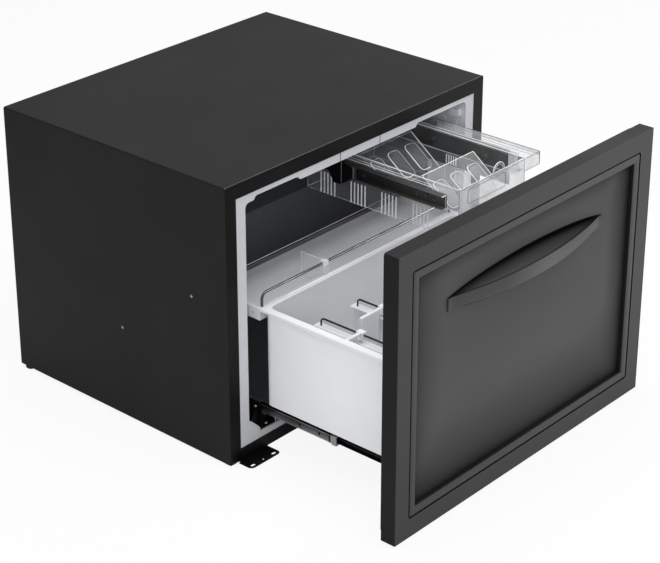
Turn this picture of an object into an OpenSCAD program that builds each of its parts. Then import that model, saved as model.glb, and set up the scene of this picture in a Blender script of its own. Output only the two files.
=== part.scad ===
// Drawer minibar: a black steel cabinet with one deep pull-out drawer and a clear bottle tray above it.
// X runs across the front, Y runs from the front to the back, Z runs up from the floor.
// The model is drawn with the drawer and the tray pulled out.

/* [Cabinet] */
// Outer width of the steel wrapper
cabinet_w = 590; // [560:5:620]
// Depth of the wrapper, without the drawer front
cabinet_d = 468; // [460:2:520]
// Height of the wrapper, without its feet
cabinet_h = 444; // [435:1:470]
// Thickness of the steel sheets
sheet_t = 1.2; // [0.8:0.1:1.5]
// Radius of the folded top edges
fold_r = 2.5; // [2:0.5:5]
// Width of the steel stiles beside the opening
stile_w = 22; // [20:0.5:24]
// Height of the steel rail above the opening
head_h = 23.5; // [21:0.5:26]
// Height of the steel sill under the opening
sill_h = 15.5; // [14:0.5:18]
// Width of the folded returns round the open back
return_w = 14; // [12:1:18]

/* [Feet and floor brackets] */
// Height of the rubber feet
foot_h = 8; // [7:0.5:14]
// Diameter of the rubber feet
foot_d = 18; // [14:1:22]
// Distance of a foot's centre from the cabinet's sides
foot_inset = 11; // [11:1:16]
// Width of a floor bracket
bracket_w = 64; // [60:2:80]
// How far a floor bracket stands out in front of the cabinet
bracket_reach = 26; // [22:1:32]
// Distance between a bracket's two slots
slot_pitch = 45; // [40:1:48]
// Width of a bracket slot
slot_w = 4.5; // [3.5:0.5:5.5]
// Overall length of a bracket slot
slot_l = 9; // [7:0.5:11]

/* [Cavity] */
// Width of the pale border beside the opening
trim_side = 20; // [18:0.5:22]
// Height of the pale border above the opening, where it is widest
trim_head = 14; // [12:0.5:16]
// How much the border is relieved where it is narrow
trim_relief = 6; // [4:0.5:8]
// Height of the pale border under the opening
trim_sill = 10; // [8:0.5:12]
// Thickness of the border strip
trim_t = 2.5; // [2:0.5:3]
// Wall of the moulded liner
liner_t = 2.5; // [1.5:0.5:3]
// Corner radius of the opening
opening_r = 8; // [4:1:12]
// Foam between the cavity and the back
back_foam = 60.5; // [54:0.5:62]
// Depth of the machine space at the bottom of the back
machine_d = 149.5; // [146:0.5:152]
// Height of the cavity above the machine step
upper_h = 206.5; // [200:0.5:216]
// Foam between the step and the machine space
step_foam = 28; // [20:1:32]

/* [Drawer front] */
// How far the drawer front reaches past the wrapper on each side
front_side = 4; // [0:0.5:10]
// How far the drawer front's top edge lies below the wrapper's top
front_top = 4.6; // [0:0.1:6]
// Thickness of the drawer front
front_t = 24.5; // [22:0.5:30]
// How far the drawer front reaches below the wrapper
front_drop = 4.6; // [4:0.1:5.2]
// Sheet thickness of the drawer front's skin
skin_t = 1.5; // [1:0.1:1.8]
// Width of the flat outer border
border_w = 30; // [24:1:34]
// Width of the shadow groove inside the border
groove_w = 0.9; // [0.6:0.1:1.5]
// Distance from the front's edge to the recessed panel
recess_inset = 45; // [42:1:52]
// Depth of the recessed panel
recess_d = 8.5; // [7:0.5:9]
// How far the bead stands proud of the border
bead_crown = 0.7; // [0.3:0.1:1.2]
// Thickness of the inner plug of the drawer front
plug_t = 12; // [8:1:14]
// Side and top clearance of the plug in the opening
plug_gap = 8; // [7:1:12]
// Free thickness of the magnetic gasket
gasket_t = 9.5; // [8:0.5:9.5]
// Width of the magnetic gasket
gasket_w = 13; // [10:1:14]
// Distance from the front's edge to the gasket
gasket_inset = 10; // [9:0.5:12]

/* [Pull] */
// Length of the bowed lip along the panel
lip_w = 366; // [300:2:400]
// How far the middle of the lip bows out of the panel
lip_bow = 24; // [18:1:32]
// Height of the lip
lip_h = 25; // [18:1:30]
// Thickness of the lip
lip_t = 3; // [2:0.5:4]
// Radius of the lip's lower edge
lip_r = 6; // [4:0.5:8]
// Distance of the lip's top edge below the drawer front's top edge
lip_drop = 105.5; // [95:0.5:140]
// Depth of the finger pocket behind the lip
pocket_d = 13; // [9:0.5:13]
// Height of the finger pocket at its middle
pocket_h = 40; // [34:1:44]
// Wall of the pocket
pocket_wall = 1; // [0.8:0.1:1.2]

/* [Drawer travel] */
// Gap between the shut bin's rear wall and the machine step
bin_clear = 11; // [8:1:20]
// Gap between the cabinet and the closed drawer front
drawer_shut = 10; // [10:0.5:12]
// Gap between the cabinet's front plane and the front of the pushed-in tray
tray_in = 6; // [5:0.5:10]

/* [Drawer bin] */
// Gap between the bin's walls and the cavity's walls
bin_gap = 29; // [27:1:36]
// Height of the rim above the machine step
rim_over = 31; // [24:1:36]
// Height of the bin's underside above the cabinet's underside
bin_z = 73.5; // [72:0.5:80]
// How far the rim stands out from the walls
rim_out = 4; // [2:0.5:6]
// How far the rim reaches into the bin
rim_in = 8; // [4:0.5:10]
// Thickness of the rim
rim_t = 4; // [3:0.5:6]
// Wall of the bin
bin_wall = 2.5; // [2:0.5:3]
// Corner radius of the bin
bin_r = 12; // [6:1:20]
// How far the rear wall leans forward at its foot
bin_lean = 6; // [2:1:10]
// Gap between the bin's rear wall and the cabinet's front plane
bin_back = 5; // [3:1:10]
// Depth of the rear shelf
shelf_d = 113; // [100:1:115]
// Depth of the rear shelf below the rim
shelf_drop = 15; // [10:1:15]
// Height of the shelf's back rim above the bin's rim
shelf_lip = 4.5; // [3:0.5:8]

/* [Wire and dividers] */
// Diameter of the chrome rail across the shelf
rail_d = 4; // [3:0.5:5]
// Height of the rail's centre above the rim
rail_h = 21; // [18:1:26]
// Bend radius of the rail
rail_r = 10; // [8:1:14]
// Diameter of the chrome bottle guards
guard_d = 3; // [2:0.5:3.5]
// Height of a guard above its ledge
guard_h = 12; // [11:0.5:16]
// Bend radius of a guard
guard_r = 6; // [5:0.5:8]
// Distance of the bottle ledges below the rim
ledge_drop = 33; // [31:1:50]
// Width of a bottle ledge
ledge_w = 14; // [10:1:16]
// Distance between the bin's left wall and the left bottle ledge
ledge_side = 64; // [58:1:74]
// Distance between the two bottle ledges
ledge_pitch = 82; // [76:1:92]
// Distance from the bin's rear wall to the ledges
ledge_gap = 45; // [30:1:60]
// Length of a cross separator
separator_l = 46; // [40:1:48]
// Depth of a cross separator's blade
separator_h = 55; // [40:1:70]
// Place of the shelf divider from the middle
divider_x = -83; // [-110:1:-60]

/* [Clear tray] */
// Distance between the deep tray and the cavity's right wall
tray_side = 59; // [56:1:64]
// Width of the deep tray
tray_w = 162; // [150:1:164]
// Width of the flange over the right slide
flange_w = 36; // [34:1:38]
// Length of the tray
tray_l = 300; // [280:1:310]
// Gap between the tray's front and the cabinet's front plane
tray_out = 160; // [150:1:160]
// Distance of the tray's top edge below the cavity's ceiling
tray_drop = 32.5; // [28:0.5:36]
// Depth of the tray
tray_h = 82; // [70:1:86]
// Wall of the tray
tray_wall = 2; // [1.5:0.5:3]
// Distance of the first sloping rest's top edge behind the tray's front
rest_back = 72; // [66:1:76]
// Distance between the two sloping rests
rest_pitch = 122; // [110:1:126]
// Length of a sloping rest
rest_l = 74; // [60:1:78]
// Slope of a rest in degrees
rest_angle = 37; // [30:1:42]
// Ribs in each comb group on the tray's side
comb_ribs = 5; // [3:1:6]
// Distance between two comb groups
comb_pitch = 61.5; // [56:0.5:64]

/* [Slides] */
// Height of the drawer slides
slide_h = 17; // [16:0.5:18]
// Width of a drawer slide over all its members
slide_w = 10.8; // [10.8:0.1:12]
// Gap between the slides' rear ends and the machine step
slide_end_gap = 4; // [3:1:24]
// Wall of the slide members
slide_t = 1.2; // [1:0.1:1.2]
// Gap between the cavity's wall and a drawer slide
slide_gap = 34; // [33:0.5:35]
// Distance between the bin's underside and the slides
slide_drop = 7.5; // [4.5:0.5:8]
// Height of the tray slides
tray_slide_h = 21; // [18:0.5:24]
// Width of a tray slide
tray_slide_w = 14; // [13.5:0.5:15]
// Distance of the tray slides' centre below the tray's top edge
tray_slide_drop = 24.5; // [22:0.5:30]

/* [Cooling unit] */
// Diameter of the compressor's housing
compressor_d = 118; // [100:1:120]
// Gap between the evaporating tray and the machine space's roof
drip_gap = 15.5; // [8:0.5:30]
// Passes of the condenser tube
coil_passes = 6; // [4:1:7]
// Outer diameter of the condenser tube
coil_d = 5; // [4:0.5:6]

/* [Hidden] */

$fn = 48;
corner_steps = 6;
// Clearance between sheets that slide into each other
fit = 0.2;
// Height of a screw head
head_t = 1.5;
// Diameter of a screw head
head_d = 7;
// Overlap that makes a cut pass right through
through = 1;

half_w = cabinet_w / 2;
open_x = half_w - stile_w - trim_side;
open_z0 = sill_h + trim_sill;
open_z1 = cabinet_h - head_h - trim_head;
ceiling_z = open_z1 + trim_relief;
tuck = 6;
rim_x = half_w - stile_w + tuck;
trim_y = sheet_t;
liner_y = trim_y + trim_t;
foam_x = half_w - sheet_t;
machine_y = cabinet_d - machine_d;
step_y = machine_y - step_foam - liner_t;
cavity_d = cabinet_d - back_foam - liner_t;
step_h = open_z1 - upper_h;
machine_z = step_h - liner_t - step_foam;
cover_y = cabinet_d - 2 * sheet_t;

front_w = cabinet_w + 2 * front_side;
front_h = cabinet_h - front_top + front_drop;
drawer_travel = step_y - bin_clear + bin_back;
drawer_open = drawer_shut + drawer_travel;
tray_travel = tray_out + tray_in;
front_y = -(drawer_open + front_t);
back_y = -drawer_open;
front_z0 = -front_drop;
front_z1 = front_z0 + front_h;
panel_y = front_y + recess_d;
lip_z1 = front_z1 - lip_drop;
lip_z0 = lip_z1 - lip_h;
lip_radius = (pow(lip_w / 2, 2) + pow(lip_bow, 2)) / (2 * lip_bow);
pocket_radius = (pow(lip_w / 2, 2) + pow(pocket_d, 2)) / (2 * pocket_d);
pocket_s = (pow(pocket_h / 2, 2) / pocket_d + pocket_d) / 2;
pocket_z = lip_z0 + 1 + pocket_h / 2;
bin_front = back_y + plug_t;
wall_x = open_x - bin_gap;
rim_edge = wall_x + rim_out;
rim_hole = wall_x - rim_in;
rim_z = step_h + rim_over;
shelf_back = shelf_d - bin_back;
shelf_floor = rim_z - shelf_drop;
shelf_plate = 2.5;
skirt_z = shelf_floor - 4;
rail_y = 3;
rail_z = rim_z + rail_h;
rail_x = rim_edge - 8;
ledge_z = rim_z - ledge_drop;
ledge_left = -wall_x + ledge_side;
ledge_right = ledge_left + ledge_pitch;
guard_z = ledge_z + guard_h;
ledge_y1 = -bin_back - ledge_gap;
ledge_y0 = bin_front + bin_wall + 8;
tray_right = open_x - tray_side;
tray_left = tray_right - tray_w;
flange_x = tray_right + flange_w;
tray_z = ceiling_z - tray_drop;
tray_y0 = -tray_out;
tray_y1 = tray_y0 + tray_l;
tray_z0 = tray_z - tray_h;
tray_slide_z = tray_z - tray_slide_drop;
side_plate_t = 1.2;
plate_gap = 12;
plate_x = tray_right + plate_gap;
plate_y0 = tray_y0 + 38;
plate_z0 = tray_slide_z - 36;
slide_y0 = drawer_shut + 4;
slide_l = step_y - slide_end_gap - slide_y0;
slide_x = open_x - slide_gap;
slide_z = bin_z - slide_drop - slide_h / 2;
hanger_y0 = 58;
hanger_y1 = 236;
rail_y0 = 28;
gland_x = -half_w + 62;
gland_z = 17;
pipe_d = 5;
suction_x = 22;
suction_z = step_h + 36;
compressor_x = -half_w + 165;
mount_h = 16;
drip_h = 14;
compressor_h = machine_z - drip_gap - drip_h - mount_h;
compressor_y = (machine_y + cover_y) / 2;
coil_x0 = 10;
coil_x1 = 210;
coil_y = cover_y - 16;
coil_z = 20;
shell_back = cabinet_d + head_t;
shell_front = panel_y - lip_bow;
y_mid = (shell_back + shell_front) / 2;

// Points of an arc about a centre, from one angle to another
function arc(cx, cy, r, a0, a1, n = corner_steps) =
    [for (i = [0:n]) let (a = a0 + (a1 - a0) * i / n) [cx + r * cos(a), cy + r * sin(a)]];

// Outline of a rectangle with round corners
function round_rect(x0, y0, x1, y1, r) = concat(
    arc(x1 - r, y1 - r, r, 0, 90), arc(x0 + r, y1 - r, r, 90, 180),
    arc(x0 + r, y0 + r, r, 180, 270), arc(x1 - r, y0 + r, r, 270, 360));

// Smooth step between two heights, as a half cosine wave
function wave(x0, z0, x1, z1, n = 6) =
    [for (i = [0:n]) [x0 + (x1 - x0) * i / n, z0 + (z1 - z0) * (1 - cos(180 * i / n)) / 2]];

// Moves a piece from the cabinet's own frame to the part's frame
module place() {
    translate([0, -y_mid, foot_h]) children();
}

// Extrudes an outline drawn in X and Z from y to y + t
module facing(y, t) {
    translate([0, y + t, 0]) rotate([90, 0, 0]) linear_extrude(t) children();
}

// Extrudes an outline drawn in Y and Z from x to x + t
module sideways(x, t) {
    translate([x, 0, 0]) rotate([90, 0, 90]) linear_extrude(t) children();
}

// A box between two corners
module block(lo, hi) {
    translate(lo) cube(hi - lo);
}

// A piece and its mirror image across the middle
module both_sides() {
    children();
    mirror([1, 0, 0]) children();
}

// A round rod between two points
module rod(a, b, d) {
    w = (b - a) / norm(b - a);
    u = cross(w, [w.z, w.x, w.y]) / norm(cross(w, [w.z, w.x, w.y]));
    v = cross(w, u);
    multmatrix([[u.x, v.x, w.x, a.x], [u.y, v.y, w.y, a.y], [u.z, v.z, w.z, a.z], [0, 0, 0, 1]])
        cylinder(h = norm(b - a), d = d);
}

// A round rod along a path of square corners, each bent with radius r
module bent_rod(path, r, d) {
    last = len(path) - 1;
    for (i = [0:last - 1]) {
        u = (path[i + 1] - path[i]) / norm(path[i + 1] - path[i]);
        a = path[i] + (i > 0 ? r : 0) * u;
        b = path[i + 1] - (i < last - 1 ? r : 0) * u;
        if (norm(b - a) > 0.01)
            rod(a, b, d);
    }
    for (i = [1:last - 1]) {
        u = (path[i] - path[i - 1]) / norm(path[i] - path[i - 1]);
        x = -(path[i + 1] - path[i]) / norm(path[i + 1] - path[i]);
        c = path[i] - r * u - r * x;
        w = cross(x, u);
        multmatrix([[x.x, u.x, w.x, c.x], [x.y, u.y, w.y, c.y], [x.z, u.z, w.z, c.z], [0, 0, 0, 1]])
            rotate_extrude(angle = 90) translate([r, 0]) circle(d = d);
    }
}

// A slot with round ends, cut upwards from z
module slot(x, y, z, length, width, depth) {
    for (side = [-1, 1])
        translate([x + side * (length - width) / 2, y, z]) cylinder(h = depth, d = width);
    translate([x - (length - width) / 2, y - width / 2, z]) cube([length - width, width, depth]);
}

// A low domed screw head whose seat is at the origin and whose top looks along Z
module screw_head() {
    difference() {
        cylinder(h = head_t, d1 = head_d, d2 = head_d * 0.7);
        translate([-0.5, -1.8, head_t - 0.6]) cube([1, 3.6, through]);
        translate([-1.8, -0.5, head_t - 0.6]) cube([3.6, 1, through]);
    }
}

relief_right = 127;
relief_left = -136;
relief_end = 23;
relief_run = 6;

// The opening's outline with the relieved stretches of its top edge
module opening_outline() {
    polygon(concat(
        arc(-open_x + opening_r, open_z0 + opening_r, opening_r, 180, 270),
        arc(open_x - opening_r, open_z0 + opening_r, opening_r, 270, 360),
        arc(open_x - opening_r, ceiling_z - opening_r, opening_r, 0, 90),
        wave(relief_right + relief_run, ceiling_z, relief_right, open_z1),
        wave(relief_left, open_z1, relief_left - relief_run, ceiling_z),
        wave(-open_x + relief_end, ceiling_z, -open_x + relief_end - relief_run, open_z1),
        arc(-open_x + opening_r, open_z1 - opening_r, opening_r, 90, 180)));
}

// Steel wrapper: top and sides in one folded sheet, with the front stiles and the rear returns
module outer_wrapper() color("#2c2c2e") place() difference() {
    facing(0, cabinet_d) polygon(concat(
        [[-half_w, 0]],
        arc(-half_w + fold_r, cabinet_h - fold_r, fold_r, 180, 90),
        arc(half_w - fold_r, cabinet_h - fold_r, fold_r, 90, 0),
        [[half_w, 0]]));
    block([-foam_x, sheet_t, -through], [foam_x, cabinet_d - sheet_t, cabinet_h - sheet_t]);
    block([-half_w + stile_w, -through, -through], [half_w - stile_w, 2 * sheet_t, cabinet_h - head_h]);
    block([-half_w + return_w, cabinet_d - 2 * sheet_t, -through],
          [half_w - return_w, cabinet_d + through, cabinet_h - return_w]);
}

// Bottom pan with the front sill, its side upstands and the vents under the machine space
module bottom_panel() color("#242426") place() difference() {
    union() {
        block([-foam_x + fit, sheet_t + fit, 0], [foam_x - fit, cover_y - fit, sheet_t]);
        block([-half_w + stile_w + fit, 0, 0], [half_w - stile_w - fit, 2 * sheet_t + fit, sheet_t]);
        block([-half_w + stile_w + fit, 0, 0], [half_w - stile_w - fit, sheet_t, sill_h]);
        both_sides() block([-foam_x + fit, tuck + 2, 0], [-foam_x + fit + sheet_t, cover_y - fit, 12]);
    }
    for (row = [0:4])
        for (column = [-1:1])
            slot(column * 110, machine_y + 28 + row * 20, -through, 84, 7, 4);
    both_sides()
        for (y = [foot_inset, cabinet_d - foot_inset])
            translate([half_w - foot_inset, y, -through]) cylinder(h = 4, d = 4.4);
}

// Upper rear sheet with upright stiffening beads
module rear_panel() color("#2a2a2c") place() {
    edge = return_w - 4;
    top = cabinet_h - edge;
    facing(cover_y, sheet_t) polygon(round_rect(-half_w + edge, machine_z, half_w - edge, top, 4));
    for (i = [-2:2])
        facing(cover_y + sheet_t, sheet_t)
            polygon(round_rect(i * 95 - 9, machine_z + 34, i * 95 + 9, top - 40, 8.8));
}

// Lower rear cover with three columns of vents
module machine_cover() color("#2a2a2c") place() difference() {
    edge = return_w - 4;
    facing(cover_y, sheet_t)
        polygon(round_rect(-half_w + edge, sheet_t + 1, half_w - edge, machine_z - fit, 4));
    for (z = [34:18:machine_z - 21])
        for (column = [-1:1])
            facing(cover_y - through, 4)
                polygon(round_rect(column * 160 - 60, z, column * 160 + 60, z + 6, 2.9));
    translate([gland_x, cover_y - through, gland_z]) rotate([-90, 0, 0]) cylinder(h = 4, d = 12);
}

// The liner's cavity in Y and Z, grown by g
module cavity_profile(y0, g) {
    polygon([[y0, open_z0 - g], [step_y + g, open_z0 - g], [step_y + g, step_h - g],
             [cavity_d + g, step_h - g], [cavity_d + g, ceiling_z + g], [y0, ceiling_z + g]]);
}

// Solid of the liner's outside, used for the liner and to hollow the foam
module liner_body() {
    intersection() {
        sideways(-open_x - liner_t, 2 * (open_x + liner_t)) cavity_profile(liner_y, liner_t);
        facing(0, cavity_d + 2 * liner_t)
            polygon(round_rect(-open_x - liner_t, open_z0 - liner_t, open_x + liner_t,
                               ceiling_z + liner_t, opening_r + liner_t));
    }
    facing(liner_y, liner_t) polygon(round_rect(-rim_x, sill_h - tuck, rim_x, cabinet_h - head_h + tuck, 4));
}

// The cavity seen from the front
module cavity_outline() {
    polygon(round_rect(-open_x, open_z0, open_x, ceiling_z, opening_r));
}

// Moulded white liner with upright ribs on its side walls
module inner_liner() color("#d9dce2") place() {
    difference() {
        liner_body();
        intersection() {
            sideways(-open_x, 2 * open_x) cavity_profile(liner_y - through, 0);
            facing(0, cavity_d) cavity_outline();
        }
        translate([suction_x, cavity_d - through, suction_z]) rotate([-90, 0, 0])
            cylinder(h = liner_t + 2 * through, d = pipe_d + 2);
    }
    both_sides()
        for (y = [18, 40])
            sideways(open_x - 1.2, 1.2) polygon(round_rect(y, step_h + 48, y + 9, ceiling_z - 36, 4));
}

// Rigid foam between the steel and the liner, open where the machine space is
module insulation_foam() color("#d8cfa8") place() difference() {
    block([-foam_x + 2 * sheet_t + fit, liner_y, sheet_t],
          [foam_x - 2 * sheet_t - fit, cover_y, cabinet_h - sheet_t]);
    liner_body();
    block([-open_x - liner_t, 0, open_z0 - liner_t],
          [open_x + liner_t, liner_y + through, ceiling_z + liner_t]);
    block([-open_x, machine_y, 0], [open_x, cabinet_d, machine_z]);
    block([suction_x - pipe_d, cavity_d, machine_z - through],
          [suction_x + pipe_d, cavity_d + 16 + pipe_d, suction_z + pipe_d]);
    both_sides()
        for (y = [foot_inset, cabinet_d - foot_inset])
            translate([half_w - foot_inset, y, 0]) cylinder(h = 9, d = 6);
}

// Pale border round the opening, with its deeper pads over the hangers and its lower corner blocks
module front_trim() color("#c3c5c9") place() difference() {
    union() {
        facing(trim_y, trim_t) difference() {
            polygon(round_rect(-rim_x, sill_h - tuck, rim_x, cabinet_h - head_h + tuck, 3));
            opening_outline();
        }
        facing(liner_y, 9) difference() {
            cavity_outline();
            opening_outline();
        }
        for (side = [-1, 1])
            facing(trim_y, trim_t + 9) intersection() {
                cavity_outline();
                polygon([[side * open_x, open_z0], [side * (open_x - 24), open_z0],
                         [side * (open_x - 23), open_z0 + 7], [side * (open_x - 18), open_z0 + 13],
                         [side * (open_x - 6), open_z0 + 24], [side * open_x, open_z0 + 27]]);
            }
    }
    block([clip_x0 - 0.3, 0, open_z1 - through], [clip_x1 + 0.3, 20, cabinet_h]);
}
clip_x0 = -48.5;
clip_x1 = 42;

// Snap-in cover in the middle of the border's top edge
module trim_clip() color("#c9cbd0") place() {
    block([clip_x0, trim_y, open_z1], [clip_x1, liner_y, cabinet_h - head_h + tuck]);
    block([clip_x0, liner_y, open_z1], [clip_x1, liner_y + 9, ceiling_z]);
}

// Dark cover over the machine step inside the cavity, with its side cheeks along the cavity's walls
module step_cover() color("#1d1e21") place() difference() {
    cheek_y0 = cheek_y;
    cheek_y1 = cavity_d - 5;
    cheek_z1 = step_h + cheek_h;
    intersection() {
        union() {
            sideways(-open_x, 2 * open_x) polygon([
                [step_y - cover_t, open_z0], [step_y, open_z0], [step_y, step_h], [cavity_d, step_h],
                [cavity_d, step_h + cover_t], [step_y - cover_t, step_h + cover_t]]);
            for (x = [-open_x, open_x - cover_t])
                sideways(x, cover_t) polygon([
                    [cheek_y0, open_z0], [step_y, open_z0], [step_y, step_h],
                    [cheek_y1, step_h], [cheek_y1, cheek_z1], [cheek_y0, cheek_z1]]);
        }
        facing(0, cabinet_d) cavity_outline();
    }
    for (column = [-4:4])
        facing(step_y - 3, 2.5)
            polygon(round_rect(column * 46 - 16, step_h - 30, column * 46 + 16, step_h - 24, 2.9));
}
cover_t = 1.5;
cheek_y = 150;
cheek_h = 130;

// Cold plate on the back wall, with its pressed refrigerant channel
module evaporator_plate() color("#303236") place() {
    x = open_x - 14;
    z0 = step_h + 14;
    z1 = ceiling_z - 12;
    channel = 7;
    pitch = (z1 - z0 - 44) / 4;
    facing(cavity_d - 1.5, 1.5) polygon(round_rect(-x, z0, x, z1, 6));
    for (i = [0:4])
        facing(cavity_d - 4, 2.5)
            polygon(round_rect(-x + 26, z0 + 22 + i * pitch - channel / 2,
                               x - 26, z0 + 22 + i * pitch + channel / 2, 3.4));
    for (i = [0:3])
        block([(i % 2 == 0 ? x - 33 : -x + 26), cavity_d - 4, z0 + 22 + i * pitch],
              [(i % 2 == 0 ? x - 26 : -x + 33), cavity_d - 1.5, z0 + 22 + (i + 1) * pitch]);
}

// Small housing of the lamp's magnet switch on the right wall
module lamp_switch() color("#e6e7ea") place()
    translate([open_x - 7, 16, ceiling_z - 22]) rotate([0, 90, 0])
        linear_extrude(7) polygon(round_rect(-6, -6, 6, 14, 3));

front_rivet_y = 72.5;
rear_rivet_y = 223;
rivet_rise = 53;
rivet_fall = 50;

// Domed rivets that hold the slide frame to the wrapper's sides
module side_rivets() color("#b9bcc0") place() both_sides()
    for (at = [[front_rivet_y, step_h + rivet_rise], [rear_rivet_y, step_h - rivet_fall]])
        translate([-half_w, at[0], at[1]]) rotate([0, -90, 0]) cylinder(h = 0.8, d1 = 5, d2 = 2.6);

// Rubber feet with a chamfered tread and a screw well
module rubber_feet() color("#161617") place() both_sides()
    for (y = [foot_inset, cabinet_d - foot_inset])
        translate([half_w - foot_inset, y, -foot_h]) rotate_extrude() polygon([
            [2.2, foot_h - 3], [4.2, foot_h - 3], [4.2, 0], [foot_d / 2 - 1.5, 0], [foot_d / 2, 1.5],
            [foot_d / 2 - 0.8, foot_h], [2.2, foot_h]]);

// Screws that hold the feet to the bottom pan
module foot_screws() color("#9a9da1") place() both_sides()
    for (y = [foot_inset, cabinet_d - foot_inset])
        translate([half_w - foot_inset, y, -3]) {
            translate([0, 0, -2]) cylinder(h = 2, d = head_d);
            cylinder(h = 9, d = 4);
        }

// Left floor bracket: a folded plate with two slots and a pilot hole in front of the cabinet
module floor_bracket() difference() {
    plate_t = 1.6;
    x0 = -half_w + 17;
    top = -foot_h + 0.4 + plate_t;
    inner_x = -half_w + foot_inset + foot_d / 2 + 1;
    union() {
        linear_extrude(plate_t) polygon(concat(
            [[inner_x, 14], [inner_x, 0], [x0, 0]],
            arc(x0 + 8, -bracket_reach + 8, 8, 180, 270),
            arc(x0 + bracket_w - 6, -bracket_reach + 6, 6, 270, 360),
            [[x0 + bracket_w, 14]]));
        block([inner_x, 14 - plate_t, 0], [x0 + bracket_w, 14, -top + plate_t]);
        block([inner_x, 14 - plate_t, -top], [x0 + bracket_w, 44, -top + plate_t]);
    }
    for (side = [-1, 1])
        slot(bracket_x + side * slot_pitch / 2, bracket_hole_y, -through, slot_l, slot_w, 4);
    translate([bracket_x, bracket_hole_y, -through]) cylinder(h = 4, d = 3.6);
}
bracket_side = 17;
bracket_x = -half_w + bracket_side + bracket_w / 2;
bracket_hole_y = -19.5;
module floor_bracket_left() color("#141415") place() translate([0, 0, -foot_h + 0.4]) floor_bracket();
module floor_bracket_right() color("#141415") place() mirror([1, 0, 0])
    translate([0, 0, -foot_h + 0.4]) floor_bracket();

// Screws that hold the floor brackets under the bottom pan
module bracket_screws() color("#8d9094") place() both_sides()
    for (side = [-1, 1])
        translate([bracket_x + side * 18, 32, -1.6]) rotate([180, 0, 0]) screw_head();

// Screws round the two rear covers
module rear_screws() color("#9a9da1") place() both_sides()
    for (z = [30, machine_z - 22, machine_z + 24, cabinet_h - 60])
        translate([half_w - return_w / 2, cabinet_d, z]) rotate([-90, 0, 0]) screw_head();

// Gland where the supply lead leaves the machine cover
module cable_gland() color("#111112") place()
    translate([gland_x, cabinet_d + head_t, gland_z]) rotate([90, 0, 0]) rotate_extrude() polygon([
        [4, 0], [7.5, 0], [9, 1.5], [9, head_t + sheet_t - 0.1], [6, head_t + sheet_t - 0.1],
        [6, 6.5], [4, 6.5]]);

mount_x = 70;
mount_y = 33;

// Hermetic compressor on its foot plate, with its terminal cover
module compressor() color("#17181a") place() translate([compressor_x, compressor_y, 0]) {
    r = compressor_d / 2;
    plate_t = 3;
    foot_r = 16;
    crown_r = 26;
    seam_z = mount_h + compressor_h * 0.47;
    cover_h = compressor_h * 0.38;
    rotate_extrude() polygon(concat(
        [[0, mount_h + plate_t]], arc(r - foot_r, mount_h + plate_t + foot_r, foot_r, 270, 360),
        arc(r - crown_r, mount_h + compressor_h - crown_r, crown_r, 0, 90), [[0, mount_h + compressor_h]]));
    translate([0, 0, mount_h]) linear_extrude(plate_t)
        polygon(round_rect(-mount_x - 14, -mount_y - 11, mount_x + 14, mount_y + 11, 14));
    translate([0, 0, seam_z]) rotate_extrude() polygon([[r - 1, 0], [r + 3, 0], [r + 3, 4], [r - 1, 4]]);
    block([r - 6, -22, seam_z - cover_h / 2], [r + 20, 22, seam_z + cover_h / 2]);
}

// Rubber grommets under the compressor's foot plate
module compressor_grommets() color("#202021") place()
    for (x = [-mount_x, mount_x])
        for (y = [-mount_y, mount_y])
            translate([compressor_x + x, compressor_y + y, sheet_t]) rotate_extrude() polygon([
                [0, 0], [9, 0], [10, 3], [7, 7], [10, 11], [9, mount_h - sheet_t], [0, mount_h - sheet_t]]);

// Condenser: a serpentine tube with upright wires
module condenser_coil() color("#1b1c1d") place() {
    pitch = (machine_z - coil_z - 24) / (coil_passes - 1);
    bent_rod([for (i = [0:coil_passes - 1]) for (end = [0, 1])
        [(i + end) % 2 == 0 ? coil_x0 : coil_x1, coil_y, coil_z + i * pitch]], pitch / 2, coil_d);
    for (i = [0:12])
        rod([coil_x0 + 10 + i * 15, coil_y + coil_d / 2 + 0.6, sheet_t],
            [coil_x0 + 10 + i * 15, coil_y + coil_d / 2 + 0.6, machine_z - 8], 1.8);
}

// Discharge pipe to the condenser and suction pipe from the cold plate
module refrigerant_pipes() color("#b07a4a") place() {
    side = 18;
    out_x = compressor_x + sqrt(pow(compressor_d / 2, 2) - pow(side, 2)) + 0.9;
    out_z = mount_h + compressor_h * 0.74;
    bent_rod([[out_x, compressor_y + side, out_z], [out_x + 30, compressor_y + side, out_z],
              [out_x + 30, compressor_y + side, coil_z], [out_x + 30, coil_y, coil_z],
              [coil_x0, coil_y, coil_z]], 8, pipe_d);
    bent_rod([[out_x, compressor_y - side, out_z], [out_x + 16, compressor_y - side, out_z],
              [out_x + 16, compressor_y - side, machine_z - 14],
              [suction_x, compressor_y - side, machine_z - 14],
              [suction_x, cavity_d + 16, machine_z - 14], [suction_x, cavity_d + 16, suction_z],
              [suction_x, cavity_d, suction_z]], 8, pipe_d);
}

// Evaporating tray clipped over the compressor
module drip_tray() color("#cfd2d6") place()
    translate([compressor_x, compressor_y, mount_h + compressor_h]) difference() {
        x = 62;
        y = 46;
        wall = 1.6;
        linear_extrude(drip_h) polygon(round_rect(-x, -y, x, y, 16));
        translate([0, 0, wall]) linear_extrude(drip_h)
            polygon(round_rect(-x + wall, -y + wall, x - wall, y - wall, 16 - wall));
    }

// Housing of the thermostat electronics
module control_box() color("#34363a") place() {
    x0 = 60;
    y0 = machine_y + 10;
    depth = 62;
    top = sheet_t + 65;
    difference() {
        block([x0, y0, sheet_t], [x0 + 140, y0 + depth, top]);
        for (i = [0:7])
            block([x0 + 16 + i * 14, y0 - through, 20], [x0 + 21 + i * 14, y0 + 1.5, top - 12]);
    }
    block([x0 + 12, y0 + depth, 14], [x0 + 60, y0 + depth + 14, 34]);
}

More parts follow.
